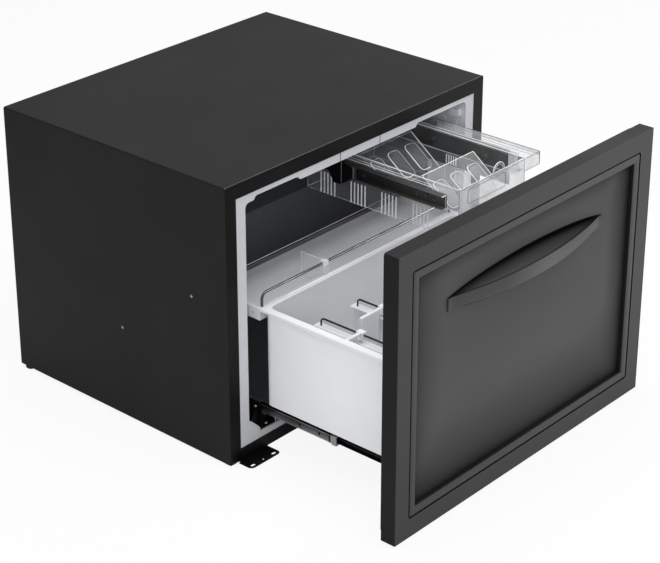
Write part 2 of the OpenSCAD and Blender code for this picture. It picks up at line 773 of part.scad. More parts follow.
// Folded steel angle on the liner's floor that carries a drawer slide, with its gussets and front stop
module slide_bracket() {
    x = -slide_x - bracket_t;
    y0 = slide_y0 - 7;
    y1 = slide_y0 + slide_l;
    top = slide_z + slide_h / 2 + 1;
    stop_x = -slide_x + 22;
    sideways(x, bracket_t) polygon([[y0, open_z0], [y1, open_z0], [y1, top], [slide_y0, top], [y0, top - 7]]);
    block([bracket_foot_x, slide_y0, open_z0], [stop_x + 6, y1, open_z0 + bracket_t]);
    block([-open_x + 25.5, y0 - 2, open_z0], [stop_x + 6, slide_y0, open_z0 + bracket_t]);
    block([stop_x, y0 - 2, open_z0], [stop_x + bracket_t, y0 + 12, open_z0 + 22]);
    for (y = [slide_y0, slide_y0 + slide_l / 2 - 30, y1 - bracket_t])
        facing(y, bracket_t) polygon([[bracket_foot_x, open_z0], [x, open_z0], [x, top - 8], [x - 5, top - 8]]);
}
bracket_t = 1.5;
bracket_foot_x = -open_x + opening_r + 0.5;
module slide_bracket_left() color("#1a1b1d") place() slide_bracket();
module slide_bracket_right() color("#1a1b1d") place() mirror([1, 0, 0]) slide_bracket();

// Screws that hold the angles to the floor and the slides to the angles
module slide_screws() color("#c4c7cb") place() both_sides()
    for (y = [slide_y0 + 6, slide_y0 + slide_l / 2, slide_y0 + slide_l - 20]) {
        translate([-slide_x + 12, y - 9, open_z0 + bracket_t]) screw_head();
        translate([-slide_x - bracket_t, y, slide_z]) rotate([0, -90, 0]) screw_head();
    }

// A channel section along Y: a web at x and two flanges that reach towards dir
module channel(x, dir, z, h, reach, t, y0, y1) {
    a = min(x, x + dir * t);
    b = min(x, x + dir * reach);
    block([a, y0, z - h / 2], [a + t, y1, z + h / 2]);
    block([b, y0, z - h / 2], [b + reach, y1, z - h / 2 + t]);
    block([b, y0, z + h / 2 - t], [b + reach, y1, z + h / 2]);
}

ball_gap = 0.6;
middle_h = slide_h - 2 * slide_t - 2 * ball_gap;
moving_h = middle_h - 2 - 2 * ball_gap;
middle_y0 = slide_y0 - drawer_travel / 2;
moving_y0 = slide_y0 - drawer_travel;
carrier_x = slide_x - slide_w;

// Outer member of a drawer slide
module slide_fixed()
    channel(-slide_x, 1, slide_z, slide_h, slide_w - 2.2, slide_t, slide_y0, slide_y0 + slide_l);
module slide_fixed_left() color("#6f7276") place() slide_fixed();
module slide_fixed_right() color("#6f7276") place() mirror([1, 0, 0]) slide_fixed();

// Middle member of a drawer slide, with its mounting holes
module slide_middle() difference() {
    channel(-slide_x + 2.2, 1, slide_z, middle_h, slide_w - 4.8, 1, middle_y0, middle_y0 + slide_l);
    for (y = [22, 60, slide_l - 40])
        translate([-slide_x, middle_y0 + y, slide_z]) rotate([0, 90, 0]) cylinder(h = 4, d = 4.5);
}
module slide_middle_left() color("#55585b") place() slide_middle();
module slide_middle_right() color("#55585b") place() mirror([1, 0, 0]) slide_middle();

// Plastic end caps on the front of the middle members
module slide_end_caps() color("#8f9296") place() both_sides() difference() {
    cap_y = middle_y0 - 12;
    neck_y = middle_y0 - 3;
    union() {
        block([-slide_x + 0.6, cap_y, slide_z - slide_h / 2 + 0.6],
              [-slide_x + slide_w - 2.6, neck_y, slide_z + slide_h / 2 - 0.6]);
        block([-slide_x + 1.8, neck_y, slide_z - middle_h / 2 + 0.4],
              [-slide_x + slide_w - 2.6, middle_y0, slide_z + middle_h / 2 - 0.4]);
    }
    block([-slide_x + 2.4, cap_y - through, slide_z - moving_h / 2 - 0.6],
          [-slide_x + slide_w, middle_y0 + through, slide_z + moving_h / 2 + 0.6]);
}

// Inner member of a drawer slide
module slide_moving()
    channel(-carrier_x, -1, slide_z, moving_h, slide_w - 5.2, 1, moving_y0, moving_y0 + slide_l);
module slide_moving_left() color("#77797d") place() slide_moving();
module slide_moving_right() color("#77797d") place() mirror([1, 0, 0]) slide_moving();

// Angle that carries the bin on its slide and bolts to the drawer front
module drawer_carrier() {
    x = -carrier_x;
    block([x, back_y, slide_z - 6], [x + 1.5, -bin_back - bin_lean, bin_z]);
    block([-wall_x + 2, back_y, bin_z - 1.5], [x + 1.5, -bin_back - bin_lean - 2, bin_z]);
    block([-wall_x + 2, back_y, bin_z - carrier_h], [x + 1.5, back_y + 1.5, bin_z]);
}
carrier_h = 26;
module drawer_carrier_left() color("#121314") place() drawer_carrier();
module drawer_carrier_right() color("#121314") place() mirror([1, 0, 0]) drawer_carrier();

// Steel skin of the drawer front: border, edges, groove wall and rear return
module front_skin() color("#4b4b4c") place() {
    x = front_w / 2;
    facing(front_y, skin_t) difference() {
        polygon(round_rect(-x, front_z0, x, front_z1, 1.5));
        polygon(round_rect(-x + border_w, front_z0 + border_w, x - border_w, front_z1 - border_w, 5));
    }
    facing(front_y, front_t) difference() {
        polygon(round_rect(-x, front_z0, x, front_z1, 1.5));
        polygon(round_rect(-x + skin_t, front_z0 + skin_t, x - skin_t, front_z1 - skin_t, 1));
    }
    facing(front_y, recess_d) difference() {
        polygon(round_rect(-x + border_w - skin_t, front_z0 + border_w - skin_t, x - border_w + skin_t,
                           front_z1 - border_w + skin_t, 5 + skin_t));
        polygon(round_rect(-x + border_w, front_z0 + border_w, x - border_w, front_z1 - border_w, 5));
    }
}

// Crowned bead between the shadow groove and the recess, mitred at its corners
module front_bead() color("#5a5a5b") place() {
    inset = border_w + groove_w;
    width = recess_inset - inset;
    half_x = front_w / 2 - inset;
    half_z = front_h / 2 - inset;
    edge_t = 1.4;
    steps = 8;
    crown = [for (i = [0:steps])
        [front_y + edge_t - (edge_t + bead_crown) * sin(180 * i / steps), width * i / steps]];
    profile = concat([[panel_y, 0]], crown, [[panel_y, width]]);
    n = len(profile);
    corners = [[-1, -1], [1, -1], [1, 1], [-1, 1]];
    points = [for (c = corners) for (p = profile) [c[0] * (half_x - p[1]), p[0], c[1] * (half_z - p[1])]];
    faces = [for (c = [0:3]) for (k = [0:n - 1]) let (next = (k + 1) % n, side = (c + 1) % 4 * n)
        [c * n + k, c * n + next, side + next, side + k]];
    translate([0, 0, (front_z0 + front_z1) / 2]) intersection() {
        facing(front_y - 2, front_t) polygon(round_rect(-half_x, -half_z, half_x, half_z, 4.5));
        polyhedron(points, faces);
    }
}

// Spindle that cuts the finger pocket, grown by g
module pocket_spindle(g) {
    n = 16;
    side = [for (i = [-n:n]) let (x = lip_w / 2 * i / n)
        [sqrt(pow(pocket_radius, 2) - pow(x, 2)) - pocket_radius + pocket_s + g, x]];
    translate([0, panel_y - pocket_s + pocket_d, pocket_z]) rotate([0, 90, 0])
        rotate_extrude() polygon(concat([[0, -lip_w / 2]], side, [[0, lip_w / 2]]));
}

// Recessed sheet with the lens-shaped opening of the finger pocket
module front_panel() color("#4a4a4b") place() {
    x = front_w / 2 - border_w - groove_w;
    z0 = front_z0 + border_w + groove_w;
    difference() {
        facing(panel_y, skin_t) polygon(round_rect(-x, z0, x, front_z1 - border_w - groove_w, 4));
        pocket_spindle(0);
    }
}

// Dished cup behind the panel's opening
module pull_cup() color("#2b2b2c") place() difference() {
    intersection() {
        pocket_spindle(pocket_wall);
        block([-lip_w, panel_y + skin_t, pocket_z - pocket_h], [lip_w, back_y - skin_t, pocket_z + pocket_h]);
    }
    pocket_spindle(0);
}

// Bowed grip lip, closed below and open above for the fingers
module pull_lip() color("#5b5b5d") place() intersection() {
    translate([0, panel_y - lip_bow + lip_radius, 0]) rotate([0, 0, -90 - lip_sweep])
        rotate_extrude(angle = 2 * lip_sweep, $fn = 180) polygon(concat(
            [[lip_radius, lip_z1], [lip_radius - lip_t, lip_z1]],
            arc(lip_radius - lip_r, lip_z0 + lip_r, lip_r - lip_t, 0, -90),
            [[lip_radius - lip_bow - 6, lip_z0 + lip_t], [lip_radius - lip_bow - 6, lip_z0]],
            arc(lip_radius - lip_r, lip_z0 + lip_r, lip_r, -90, 0)));
    block([-lip_w, panel_y - lip_bow - 5, lip_z0 - 5], [lip_w, panel_y, lip_z1 + 5]);
}
lip_sweep = asin(lip_w / 2 / lip_radius);

// Foam core of the drawer front
module front_foam() color("#d8cfa8") place() difference() {
    x = front_w / 2 - skin_t;
    groove = border_w - skin_t;
    facing(front_y + skin_t, front_t - 2 * skin_t)
        polygon(round_rect(-x, front_z0 + skin_t, x, front_z1 - skin_t, 1));
    block([-front_w / 2 + groove, front_y, front_z0 + groove],
          [front_w / 2 - groove, panel_y + skin_t, front_z1 - groove]);
    pocket_spindle(pocket_wall);
}

// White inner cover of the drawer front, with the plug that enters the opening
module front_plug() color("#eceef0") place() {
    x = front_w / 2 - skin_t;
    facing(back_y - skin_t, skin_t) polygon(round_rect(-x, front_z0 + skin_t, x, front_z1 - skin_t, 1));
    facing(back_y, plug_t)
        polygon(round_rect(-open_x + plug_gap, bin_z + 8, open_x - plug_gap, open_z1 - plug_gap, 10));
}

// Magnetic gasket with its bellows grooves
module door_gasket() color("#2e2f31") place() {
    x = front_w / 2 - gasket_inset;
    z0 = front_z0 + gasket_inset - 4;
    z1 = front_z1 - gasket_inset + 4;
    for (layer = [[0, 3.5, 0], [3.5, 2.5, 2], [6, gasket_t - 6, 0.5]])
        facing(back_y + layer[0], layer[1]) difference() {
            polygon(round_rect(-x + layer[2], z0 + layer[2], x - layer[2], z1 - layer[2], 4));
            polygon(round_rect(-x + gasket_w - layer[2], z0 + gasket_w - layer[2],
                               x - gasket_w + layer[2], z1 - gasket_w + layer[2], 4));
        }
}

// Side profile of the deep bin, drawn in by g
module bin_profile(g, top) {
    polygon([[bin_front + g, bin_z + g], [-bin_back - bin_lean - g, bin_z + g],
             [-bin_back - g, top], [bin_front + g, top]]);
}

// Solid of the deep bin, drawn in by g
module bin_solid(g, top) {
    intersection() {
        sideways(-wall_x + g, 2 * wall_x - 2 * g) bin_profile(g, top);
        translate([0, 0, bin_z - through]) linear_extrude(top) polygon(
            round_rect(-wall_x + g, bin_front + g, wall_x - g, -bin_back - g, bin_r - g));
    }
}

// Drawer moulding: deep bin, folded rim and the shallow shelf behind it
module drawer_bin() color("#e4e6e9") place() {
    difference() {
        bin_solid(0, rim_z);
        bin_solid(bin_wall, rim_z + 2);
    }
    translate([0, 0, rim_z - rim_t]) linear_extrude(rim_t) difference() {
        polygon(round_rect(-rim_edge, bin_front, rim_edge, 8, 2));
        polygon(round_rect(-rim_hole, bin_front + 8, rim_hole, -bin_back - 3, bin_r - 2));
    }
    difference() {
        block([-rim_edge, 0, skirt_z], [rim_edge, shelf_back, rim_z]);
        for (side = [-1, 1])
            rod([side * (rim_edge - 4), 14, skirt_z + 8], [side * (rim_edge + through), 14, skirt_z + 8], 4);
        block([-rim_edge + 2.5, 2.5, skirt_z - through],
              [rim_edge - 2.5, shelf_back - 2.5, shelf_floor - shelf_plate]);
        block([-rim_edge + 6, 8, shelf_floor], [rim_edge - 6, shelf_back - 3, rim_z + through]);
    }
    block([-rim_edge, shelf_back - 3, rim_z], [rim_edge, shelf_back, rim_z + shelf_lip]);
    both_sides()
        for (y = [bin_front + 70, bin_front + 200])
            sideways(wall_x - bin_wall - 1, 1) polygon(round_rect(y, bin_z + 12, y + 8, rim_z - 30, 3.9));
}

// Grey guide blocks on the shelf's sides
module rim_guides() color("#8c8f93") place() both_sides()
    sideways(-rim_edge - 4, 4) polygon(round_rect(22, skirt_z + 1, 42, rim_z - 2, 2));

// Chrome rail that keeps bottles on the shelf
module shelf_rail() color("#d5d8db") place()
    bent_rod([[-rail_x, rail_y, rim_z], [-rail_x, rail_y, rail_z],
              [rail_x, rail_y, rail_z], [rail_x, rail_y, rim_z]], rail_r, rail_d);

// Two upright partitions with a ledge on top, standing on the bin's floor
module bottle_ledges() color("#eef0f2") place()
    for (x = [ledge_left, ledge_right]) {
        block([x - ledge_w / 2, ledge_y0, ledge_z - 3], [x + ledge_w / 2, ledge_y1, ledge_z]);
        block([x - 1.2, ledge_y0 + 2, bin_z + bin_wall + 2], [x + 1.2, ledge_y1 - 2, ledge_z - 3]);
        block([x - ledge_w / 2, ledge_y0 + 2, bin_z + bin_wall],
              [x + ledge_w / 2, ledge_y1 - 2, bin_z + bin_wall + 2]);
    }

// Chrome guards on the bottle ledges
module bottle_guards() color("#d5d8db") place()
    for (x = [ledge_left, ledge_right])
        bent_rod([[x, ledge_y0 + 8, ledge_z], [x, ledge_y0 + 8, guard_z],
                  [x, ledge_y1 - 9, guard_z], [x, ledge_y1 - 9, ledge_z]], guard_r, guard_d);

// Cross separator that clips over a guard and slides along it
module separator(x, y) {
    difference() {
        block([x - 5, y - 6, guard_z - 4], [x + 5, y + 6, guard_z + 5]);
        rod([x, y - 6 - through, guard_z], [x, y + 6 + through, guard_z], guard_d + 0.6);
        block([x - (guard_d + 0.2) / 2, y - 6 - through, guard_z - 5],
              [x + (guard_d + 0.2) / 2, y + 6 + through, guard_z]);
    }
    block([x - 5 - separator_l, y - 2.5, guard_z - 1], [x - 5, y + 2.5, guard_z + 4]);
    sideways(x - 5 - separator_l, 2.5)
        polygon(round_rect(y - 2.5, guard_z - separator_h, y + 2.5, guard_z + 2, 2));
    block([x - 4 - separator_l, y - 1, guard_z - separator_h + 3], [x - ledge_w / 2 - 2, y + 1, guard_z]);
}
left_separator_y = -136;
right_separator_y = -108;
module separator_left() color("#f0f2f4") place() separator(ledge_left, left_separator_y);
module separator_right() color("#f0f2f4") place() separator(ledge_right, right_separator_y);

// Clear divider that hangs behind the shelf rail from its clip
module shelf_divider() color("#e8edf2") place() {
    difference() {
        block([divider_x - 6, rail_y - 4.5, rail_z - 3.5], [divider_x + 6, rail_y + 5, rail_z + 4.5]);
        rod([divider_x - 6 - through, rail_y, rail_z], [divider_x + 6 + through, rail_y, rail_z], rail_d + 0.6);
        block([divider_x - 6 - through, rail_y - (rail_d + 0.2) / 2, rail_z - 5],
              [divider_x + 6 + through, rail_y + (rail_d + 0.2) / 2, rail_z]);
    }
    sideways(divider_x - 1, 2) polygon(concat(
        [[rail_y + 4.5, rail_z + 4]], arc(rail_y + 13, shelf_floor + 9, 7, 180, 270),
        arc(rail_y + 35, shelf_floor + 14, 12, 270, 360), arc(rail_y + 44, rail_z + 1, 3, 0, 90)));
}

// Outline of the tray's inside
module tray_inside()
    polygon(round_rect(tray_left + tray_wall, tray_y0 + tray_wall, tray_right - tray_wall, tray_y1 - tray_wall, 3));

// Clear tray with comb ribs on its left side, a partition and the wing in front of the right slide
module clear_tray() color("#dfe6ee") place() {
    difference() {
        translate([0, 0, tray_z0]) linear_extrude(tray_h)
            polygon(round_rect(tray_left, tray_y0, tray_right, tray_y1, 5));
        translate([0, 0, tray_z0 + tray_wall]) linear_extrude(tray_h) tray_inside();
    }
    translate([0, 0, tray_z - 2]) linear_extrude(2) difference() {
        polygon(round_rect(tray_left - 2, tray_y0 - 2, flange_x, tray_y1 + 2, 6));
        tray_inside();
    }
    block([partition_x, tray_y0 + tray_wall, tray_z0 + tray_wall],
          [partition_x + 2, tray_y1 - tray_wall, tray_z - 14]);
    for (group = [0:3])
        for (rib = [0:comb_ribs - 1])
            block([tray_left - 1.2, tray_y0 + comb_start + group * comb_pitch + rib * rib_pitch, tray_z0],
                  [tray_left, tray_y0 + comb_start + group * comb_pitch + rib * rib_pitch + 2, tray_z0 + 36]);
    for (rib = [0:comb_ribs - 1])
        block([partition_x - 1.2, rest_end + 2 + rib * rib_pitch, tray_z0],
              [partition_x, rest_end + 4 + rib * rib_pitch, tray_z - 20]);
    facing(tray_y0, tray_wall)
        polygon(round_rect(tray_right - 3, tray_z - 22, flange_x, tray_z, 2));
    block([flange_x - 2, tray_y0, tray_z - 6], [flange_x, tray_y1 - 4, tray_z - 1]);
    facing(tray_y0, tray_wall) polygon(concat(
        [[dome_x + dome_r, tray_z - 2]],
        arc(dome_x, tray_z, dome_r, 0, 180, 10),
        [[dome_x - dome_r, tray_z - 2]]));
    facing(tray_y0 - 1, 1 + through / 2) difference() {
        polygon(round_rect(tray_left + 20, tray_z - 30, partition_x - 14, tray_z - 6, 3));
        polygon(round_rect(tray_left + 22, tray_z - 28, partition_x - 16, tray_z - 8, 2));
    }
}
partition_x = tray_left + 126;
comb_start = 57;
rib_pitch = 7;
rest_end = tray_y0 + rest_back + 3;
dome_x = tray_left + 95;
dome_r = 15;

// Two sloping bottle rests with raised pads, lying between the tray's side and its partition
module bottle_rests() color("#d8dfe8") place()
    for (i = [0, 1])
        translate([tray_left + tray_wall, tray_y0 + rest_back + i * rest_pitch, tray_z + 2])
            rotate([rest_angle, 0, 0]) {
                translate([0, -rest_l, -2]) cube([partition_x - tray_left - tray_wall, rest_l, 2]);
                for (pad = [18, 59, 100])
                    linear_extrude(1.2) difference() {
                        polygon(round_rect(pad - pad_w / 2, -rest_l + 7, pad + pad_w / 2, -18, 7));
                        polygon(round_rect(pad - pad_w / 2 + 2, -rest_l + 9, pad + pad_w / 2 - 2, -20, 5));
                    }
            }
pad_w = 27;

// Rails fixed to the hangers, inside the tray's channels
module tray_rail() channel(rail_side, 1, tray_slide_z, tray_slide_h - 2 * slide_t - 2 * ball_gap,
                           tray_slide_w - slide_t - 2.6, slide_t, rail_y0, hanger_y1);
rail_side = tray_left - tray_slide_w;
module tray_rail_left() color("#7d8084") place() tray_rail();
module tray_rail_right() color("#7d8084") place() right_of_tray() tray_rail();

// Mirrors a left piece to the outer face of the dark side plate
module right_of_tray() {
    translate([tray_left + plate_x + side_plate_t, 0, 0]) mirror([1, 0, 0]) children();
}

hanger_t = 1.5;
hanger_z0 = tray_slide_z - tray_slide_h / 2 + 3;
hanger_z1 = hanger_z0 + 17;

// Hanger that carries the left tray rail from the cavity's ceiling
module tray_hanger_left() color("#151618") place() {
    sideways(rail_side - hanger_t, hanger_t) polygon([
        [rail_y0 + 4, hanger_z0], [hanger_y0, hanger_z0 - 17], [hanger_y0 + 14, hanger_z0 - 17],
        [hanger_y0 + 24, hanger_z0], [hanger_y1, hanger_z0], [hanger_y1, ceiling_z], [hanger_y0, ceiling_z],
        [hanger_y0, hanger_z0 + 24], [rail_y0 + 4, hanger_z0 + 15]]);
    block([rail_side - 16, hanger_y0, ceiling_z - hanger_t], [rail_side, hanger_y1, ceiling_z]);
    for (y = [hanger_y0 + 24, hanger_y1 - 24])
        translate([rail_side - 9, y, ceiling_z - hanger_t]) rotate([180, 0, 0]) screw_head();
}

// Folded bracket on the cavity's right wall that carries the right tray rail under the tray's flange
module tray_hanger_right() color("#151618") place() {
    right_of_tray() sideways(rail_side - hanger_t, hanger_t)
        polygon([[rail_y0 + 4, hanger_z0], [hanger_y1, hanger_z0],
                 [hanger_y1, hanger_z1], [rail_y0 + 4, hanger_z1]]);
    x = tray_left + plate_x + side_plate_t - rail_side;
    block([x, hanger_y0, hanger_z1 - hanger_t], [open_x, hanger_y1, hanger_z1]);
    block([open_x - hanger_t, hanger_y0, hanger_z0 - 8], [open_x, hanger_y1, hanger_z1]);
    for (y = [hanger_y0 + 24, hanger_y1 - 24])
        translate([open_x - hanger_t, y, hanger_z0]) rotate([0, -90, 0]) screw_head();
}

// Channels and dark side plate that ride with the clear tray
module tray_channels() color("#2c2a26") place() {
    y0 = rail_y0 + 1 - tray_travel;
    y1 = tray_y1 - 8;
    difference() {
        channel(tray_left, -1, tray_slide_z, tray_slide_h, tray_slide_w - 1.6, slide_t, y0, y1);
        for (y = [y0 + 12, y0 + 34, y1 - 60])
            translate([tray_left - 3, y, tray_slide_z]) rotate([0, 90, 0]) cylinder(h = 2.4, d = 4.2);
        block([tray_left - 3, y0 + 20, tray_slide_z - 1.6],
              [tray_left - slide_t / 2, y0 + 27, tray_slide_z + 1.6]);
    }
    right_of_tray() channel(tray_left, -1, tray_slide_z, tray_slide_h, tray_slide_w - 1.6, slide_t, y0, y1);
    sideways(plate_x, side_plate_t) polygon([[plate_y0, plate_z0], [y1, plate_z0],
                                             [y1, tray_z - 2], [plate_y0, tray_z - 2]]);
    for (y = [plate_y0 + 42, plate_y0 + 145])
        rod([tray_right, y, tray_slide_z + 1], [plate_x, y, tray_slide_z + 1], 9);
}

outer_wrapper();
bottom_panel();
rear_panel();
machine_cover();
insulation_foam();
inner_liner();
front_trim();
trim_clip();
step_cover();
evaporator_plate();
lamp_switch();
side_rivets();
rubber_feet();
foot_screws();
floor_bracket_left();
floor_bracket_right();
bracket_screws();
rear_screws();
cable_gland();
compressor();
compressor_grommets();
condenser_coil();
refrigerant_pipes();
drip_tray();
control_box();
slide_bracket_left();
slide_bracket_right();
slide_screws();
slide_fixed_left();
slide_fixed_right();
tray_hanger_left();
tray_hanger_right();
tray_rail_left();
tray_rail_right();
slide_middle_left();
slide_middle_right();
slide_end_caps();
slide_moving_left();
slide_moving_right();
drawer_carrier_left();
drawer_carrier_right();
front_skin();
front_bead();
front_panel();
pull_cup();
pull_lip();
front_foam();
front_plug();
door_gasket();
drawer_bin();
rim_guides();
shelf_rail();
bottle_ledges();
bottle_guards();
separator_left();
separator_right();
shelf_divider();
clear_tray();
bottle_rests();
tray_channels();
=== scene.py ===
import math

import bmesh
import bpy
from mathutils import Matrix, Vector


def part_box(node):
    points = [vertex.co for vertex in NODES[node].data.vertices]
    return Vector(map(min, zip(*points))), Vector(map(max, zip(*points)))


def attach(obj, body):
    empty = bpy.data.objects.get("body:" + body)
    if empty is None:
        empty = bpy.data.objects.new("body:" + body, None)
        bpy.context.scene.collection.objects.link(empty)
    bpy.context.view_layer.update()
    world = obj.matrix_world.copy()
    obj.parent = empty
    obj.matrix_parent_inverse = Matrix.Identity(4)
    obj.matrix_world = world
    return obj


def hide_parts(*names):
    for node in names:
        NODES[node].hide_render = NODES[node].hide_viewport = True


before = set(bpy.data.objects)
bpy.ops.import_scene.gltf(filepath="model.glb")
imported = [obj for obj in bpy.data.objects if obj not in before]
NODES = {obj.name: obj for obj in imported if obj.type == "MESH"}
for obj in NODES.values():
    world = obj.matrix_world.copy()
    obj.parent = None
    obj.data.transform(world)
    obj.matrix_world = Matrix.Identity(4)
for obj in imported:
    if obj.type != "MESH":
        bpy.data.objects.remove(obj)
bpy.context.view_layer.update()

# The cabinet's own frame is in millimetres: x from its middle, y back from its front plane and z up from its
# underside
MM = 0.001
wrapper_low, wrapper_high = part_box("outer_wrapper")
FRONT_PLANE = wrapper_low.y
UNDERSIDE = wrapper_low.z


def behind_front(y):
    """Where y of the cabinet's own frame lies in the shared frame, in metres."""
    return FRONT_PLANE + y * MM


def above_base(z):
    """Where z of the cabinet's own frame lies in the shared frame, in metres."""
    return UNDERSIDE + z * MM


def at(x, y, z):
    """A point of the cabinet's own frame in the shared frame, in metres."""
    return Vector((x * MM, behind_front(y), above_base(z)))


def own(point):
    """A point of the shared frame in the cabinet's own frame, in millimetres."""
    return Vector((point.x, point.y - FRONT_PLANE, point.z - UNDERSIDE)) / MM


def own_box(node):
    """The corners of a CAD node in the cabinet's own frame, in millimetres."""
    low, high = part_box(node)
    return own(low), own(high)


HALF_WIDTH = own(wrapper_high).x
SHELL_TOP = own(wrapper_high).z


# Materials

# The recessed sheet's front, and the front and foot of the grip, in metres
SHEET_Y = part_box("front_panel")[0].y
LIP_Y, LIP_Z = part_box("pull_lip")[0].y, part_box("pull_lip")[0].z
ALONG_X, ALONG_Y, ALONG_Z = range(3)
# Most values of a noise texture lie between these two
NOISE_LOW, NOISE_HIGH = 0.3, 0.7
WHITE = (1, 1, 1, 1)


def rgb(text):
    """A linear colour from an sRGB hex code."""
    parts = [int(text[i:i + 2], 16) / 255 for i in (1, 3, 5)]
    return [p / 12.92 if p <= 0.04045 else ((p + 0.055) / 1.055) ** 2.4 for p in parts] + [1.0]


class Shader:
    """A node material with object coordinates, whose textures are added by its methods."""

    def __init__(self, name, rough, metal=0.0, **sockets):
        self.material = bpy.data.materials.new(name)
        self.material.use_nodes = True
        self.tree = self.material.node_tree
        self.bsdf = self.tree.nodes["Principled BSDF"]
        self.bsdf.inputs["Roughness"].default_value = rough
        self.bsdf.inputs["Metallic"].default_value = metal
        for socket, value in sockets.items():
            self.bsdf.inputs[socket.replace("_", " ")].default_value = value
        coords = self.tree.nodes.new("ShaderNodeTexCoord")
        self.place, self.normal = coords.outputs["Object"], coords.outputs["Normal"]

    def node(self, kind, **values):
        """A new node with these settings."""
        made = self.tree.nodes.new(kind)
        for key, value in values.items():
            setattr(made, key, value)
        return made

    def link(self, source, target):
        """Joins an output to an input."""
        self.tree.links.new(source, target)

    def noise(self, scale, detail=3.0, stretch=(1, 1, 1)):
        """The value of a noise texture, with features about 1 / scale metres wide."""
        mapping = self.node("ShaderNodeMapping")
        mapping.inputs["Scale"].default_value = stretch
        self.link(self.place, mapping.inputs["Vector"])
        made = self.node("ShaderNodeTexNoise")
        for socket, value in (("Scale", scale), ("Detail", detail), ("Roughness", 0.55)):
            made.inputs[socket].default_value = value
        self.link(mapping.outputs["Vector"], made.inputs["Vector"])
        return made.outputs["Fac"]

    def spread(self, value, start, end, low, high, **values):
        """A value that runs from low to high while the given one runs from start to end."""
        made = self.node("ShaderNodeMapRange", **values)
        for socket, number in (("From Min", start), ("From Max", end), ("To Min", low), ("To Max", high)):
            made.inputs[socket].default_value = number
        self.link(value, made.inputs["Value"])
        return made.outputs["Result"]

    def math(self, operation, first, second):
        """The result of a math node, whose inputs are sockets or numbers."""
        made = self.node("ShaderNodeMath", operation=operation)
        for socket, value in zip(made.inputs, (first, second)):
            if isinstance(value, (int, float)):
                socket.default_value = value
            else:
                self.link(value, socket)
        return made.outputs[0]

    def scale_colour(self, share):
        """Multiplies the base colour by a share."""
        socket = self.bsdf.inputs["Base Color"]
        scaled = self.node("ShaderNodeVectorMath", operation="SCALE")
        self.link(socket.links[0].from_socket, scaled.inputs[0])
        self.link(share, scaled.inputs["Scale"])
        self.link(scaled.outputs[0], socket)

    def tint(self, scale, dark, light, stretch=(1, 1, 1)):
        """Colour that drifts between two shades."""
        made = self.node("ShaderNodeValToRGB")
        first, last = made.color_ramp.elements
        first.position, first.color = NOISE_LOW, rgb(dark)
        last.position, last.color = NOISE_HIGH, rgb(light)
        self.link(self.noise(scale, stretch=stretch), made.inputs["Fac"])
        self.link(made.outputs["Color"], self.bsdf.inputs["Base Color"])
        return self

    def gloss(self, scale, low, high, stretch=(1, 1, 1)):
        """Roughness that drifts between two values."""
        drift = self.spread(self.noise(scale, stretch=stretch), NOISE_LOW, NOISE_HIGH, low, high)
        self.link(drift, self.bsdf.inputs["Roughness"])
        return self

    def paint_side_shade(self, x=(1, 1), y=(1, 1), z=(1, 1)):
        """Paints shade by side: scales the colour of faces that look along -X, +X, -Y, +Y, -Z or +Z, each by
        its own share.
        """
        parts = self.node("ShaderNodeSeparateXYZ")
        self.link(self.normal, parts.inputs[0])
        total = 0.0
        for along, (minus, plus) in zip(parts.outputs, (x, y, z)):
            positive = self.math("GREATER_THAN", along, 0.0)
            share = self.math("ADD", self.math("MULTIPLY", positive, plus - minus), minus)
            total = self.math("ADD", self.math("MULTIPLY", self.math("MULTIPLY", along, along), share), total)
        self.scale_colour(total)

    def paint_light_and_shade_along(self, axis, start, end, share):
        """Paints light or shade along an axis of the shared frame: scales the colour by 1 at start and by
        share at end.
        """
        parts = self.node("ShaderNodeSeparateXYZ")
        self.link(self.place, parts.inputs[0])
        self.scale_colour(self.spread(parts.outputs[axis], start, end, 1.0, share))

    def shaded(self, painted_shading, shares=None):
        """Paints shade by side, and light or shade along every axis that painted_shading lists with its
        start, end and share.
        """
        if shares:
            self.paint_side_shade(**shares)
        for axis, start, end, share in painted_shading:
            self.paint_light_and_shade_along(axis, start, end, share)
        return self

    def paint_highlight_by_facing(self, way, sharpness, low, high):
        """Paints a highlight on the faces that look one way and paints the others darker, standing in for the
        reflection of bright metal.
        """
        facing = self.node("ShaderNodeVectorMath", operation="DOT_PRODUCT")
        self.link(self.normal, facing.inputs[0])
        facing.inputs[1].default_value = Vector(way).normalized()
        lobe = self.math("POWER", self.math("MAXIMUM", facing.outputs["Value"], 0.0), sharpness)
        self.scale_colour(self.math("ADD", self.math("MULTIPLY", lobe, high - low), low))
        return self

    def paint_highlight_around(self, place, reach, gain):
        """Paints a highlight into the coat around a place."""
        away = self.node("ShaderNodeVectorMath", operation="DISTANCE")
        self.link(self.place, away.inputs[0])
        away.inputs[1].default_value = place
        glow = self.spread(away.outputs["Value"], 0.0, reach, gain, 1.0, interpolation_type="SMOOTHSTEP")
        self.scale_colour(glow)

    def bumps(self, scale, height, strength=0.3, stretch=(1, 1, 1)):
        """Fine relief, height in metres."""
        bump = self.node("ShaderNodeBump")
        bump.inputs["Strength"].default_value = strength
        bump.inputs["Distance"].default_value = height
        self.link(self.noise(scale, 2.0, stretch), bump.inputs["Height"])
        self.link(bump.outputs["Normal"], self.bsdf.inputs["Normal"])
        return self


def coated_steel(name, dark, light, low, high, sheen=0.25, painted_shading=(), painted_highlights=(), **shares):
    """Powder-coated sheet with a fine orange-peel skin, with painted highlights around the places that
    painted_highlights lists.
    """
    shader = Shader(name, (low + high) / 2, Specular_IOR_Level=sheen)
    shader.tint(2.2, dark, light).shaded(painted_shading, shares)
    for place, reach, gain in painted_highlights:
        shader.paint_highlight_around(place, reach, gain)
    shader.gloss(5.0, low, high).bumps(900, 0.00004, 0.25)
    return shader.material


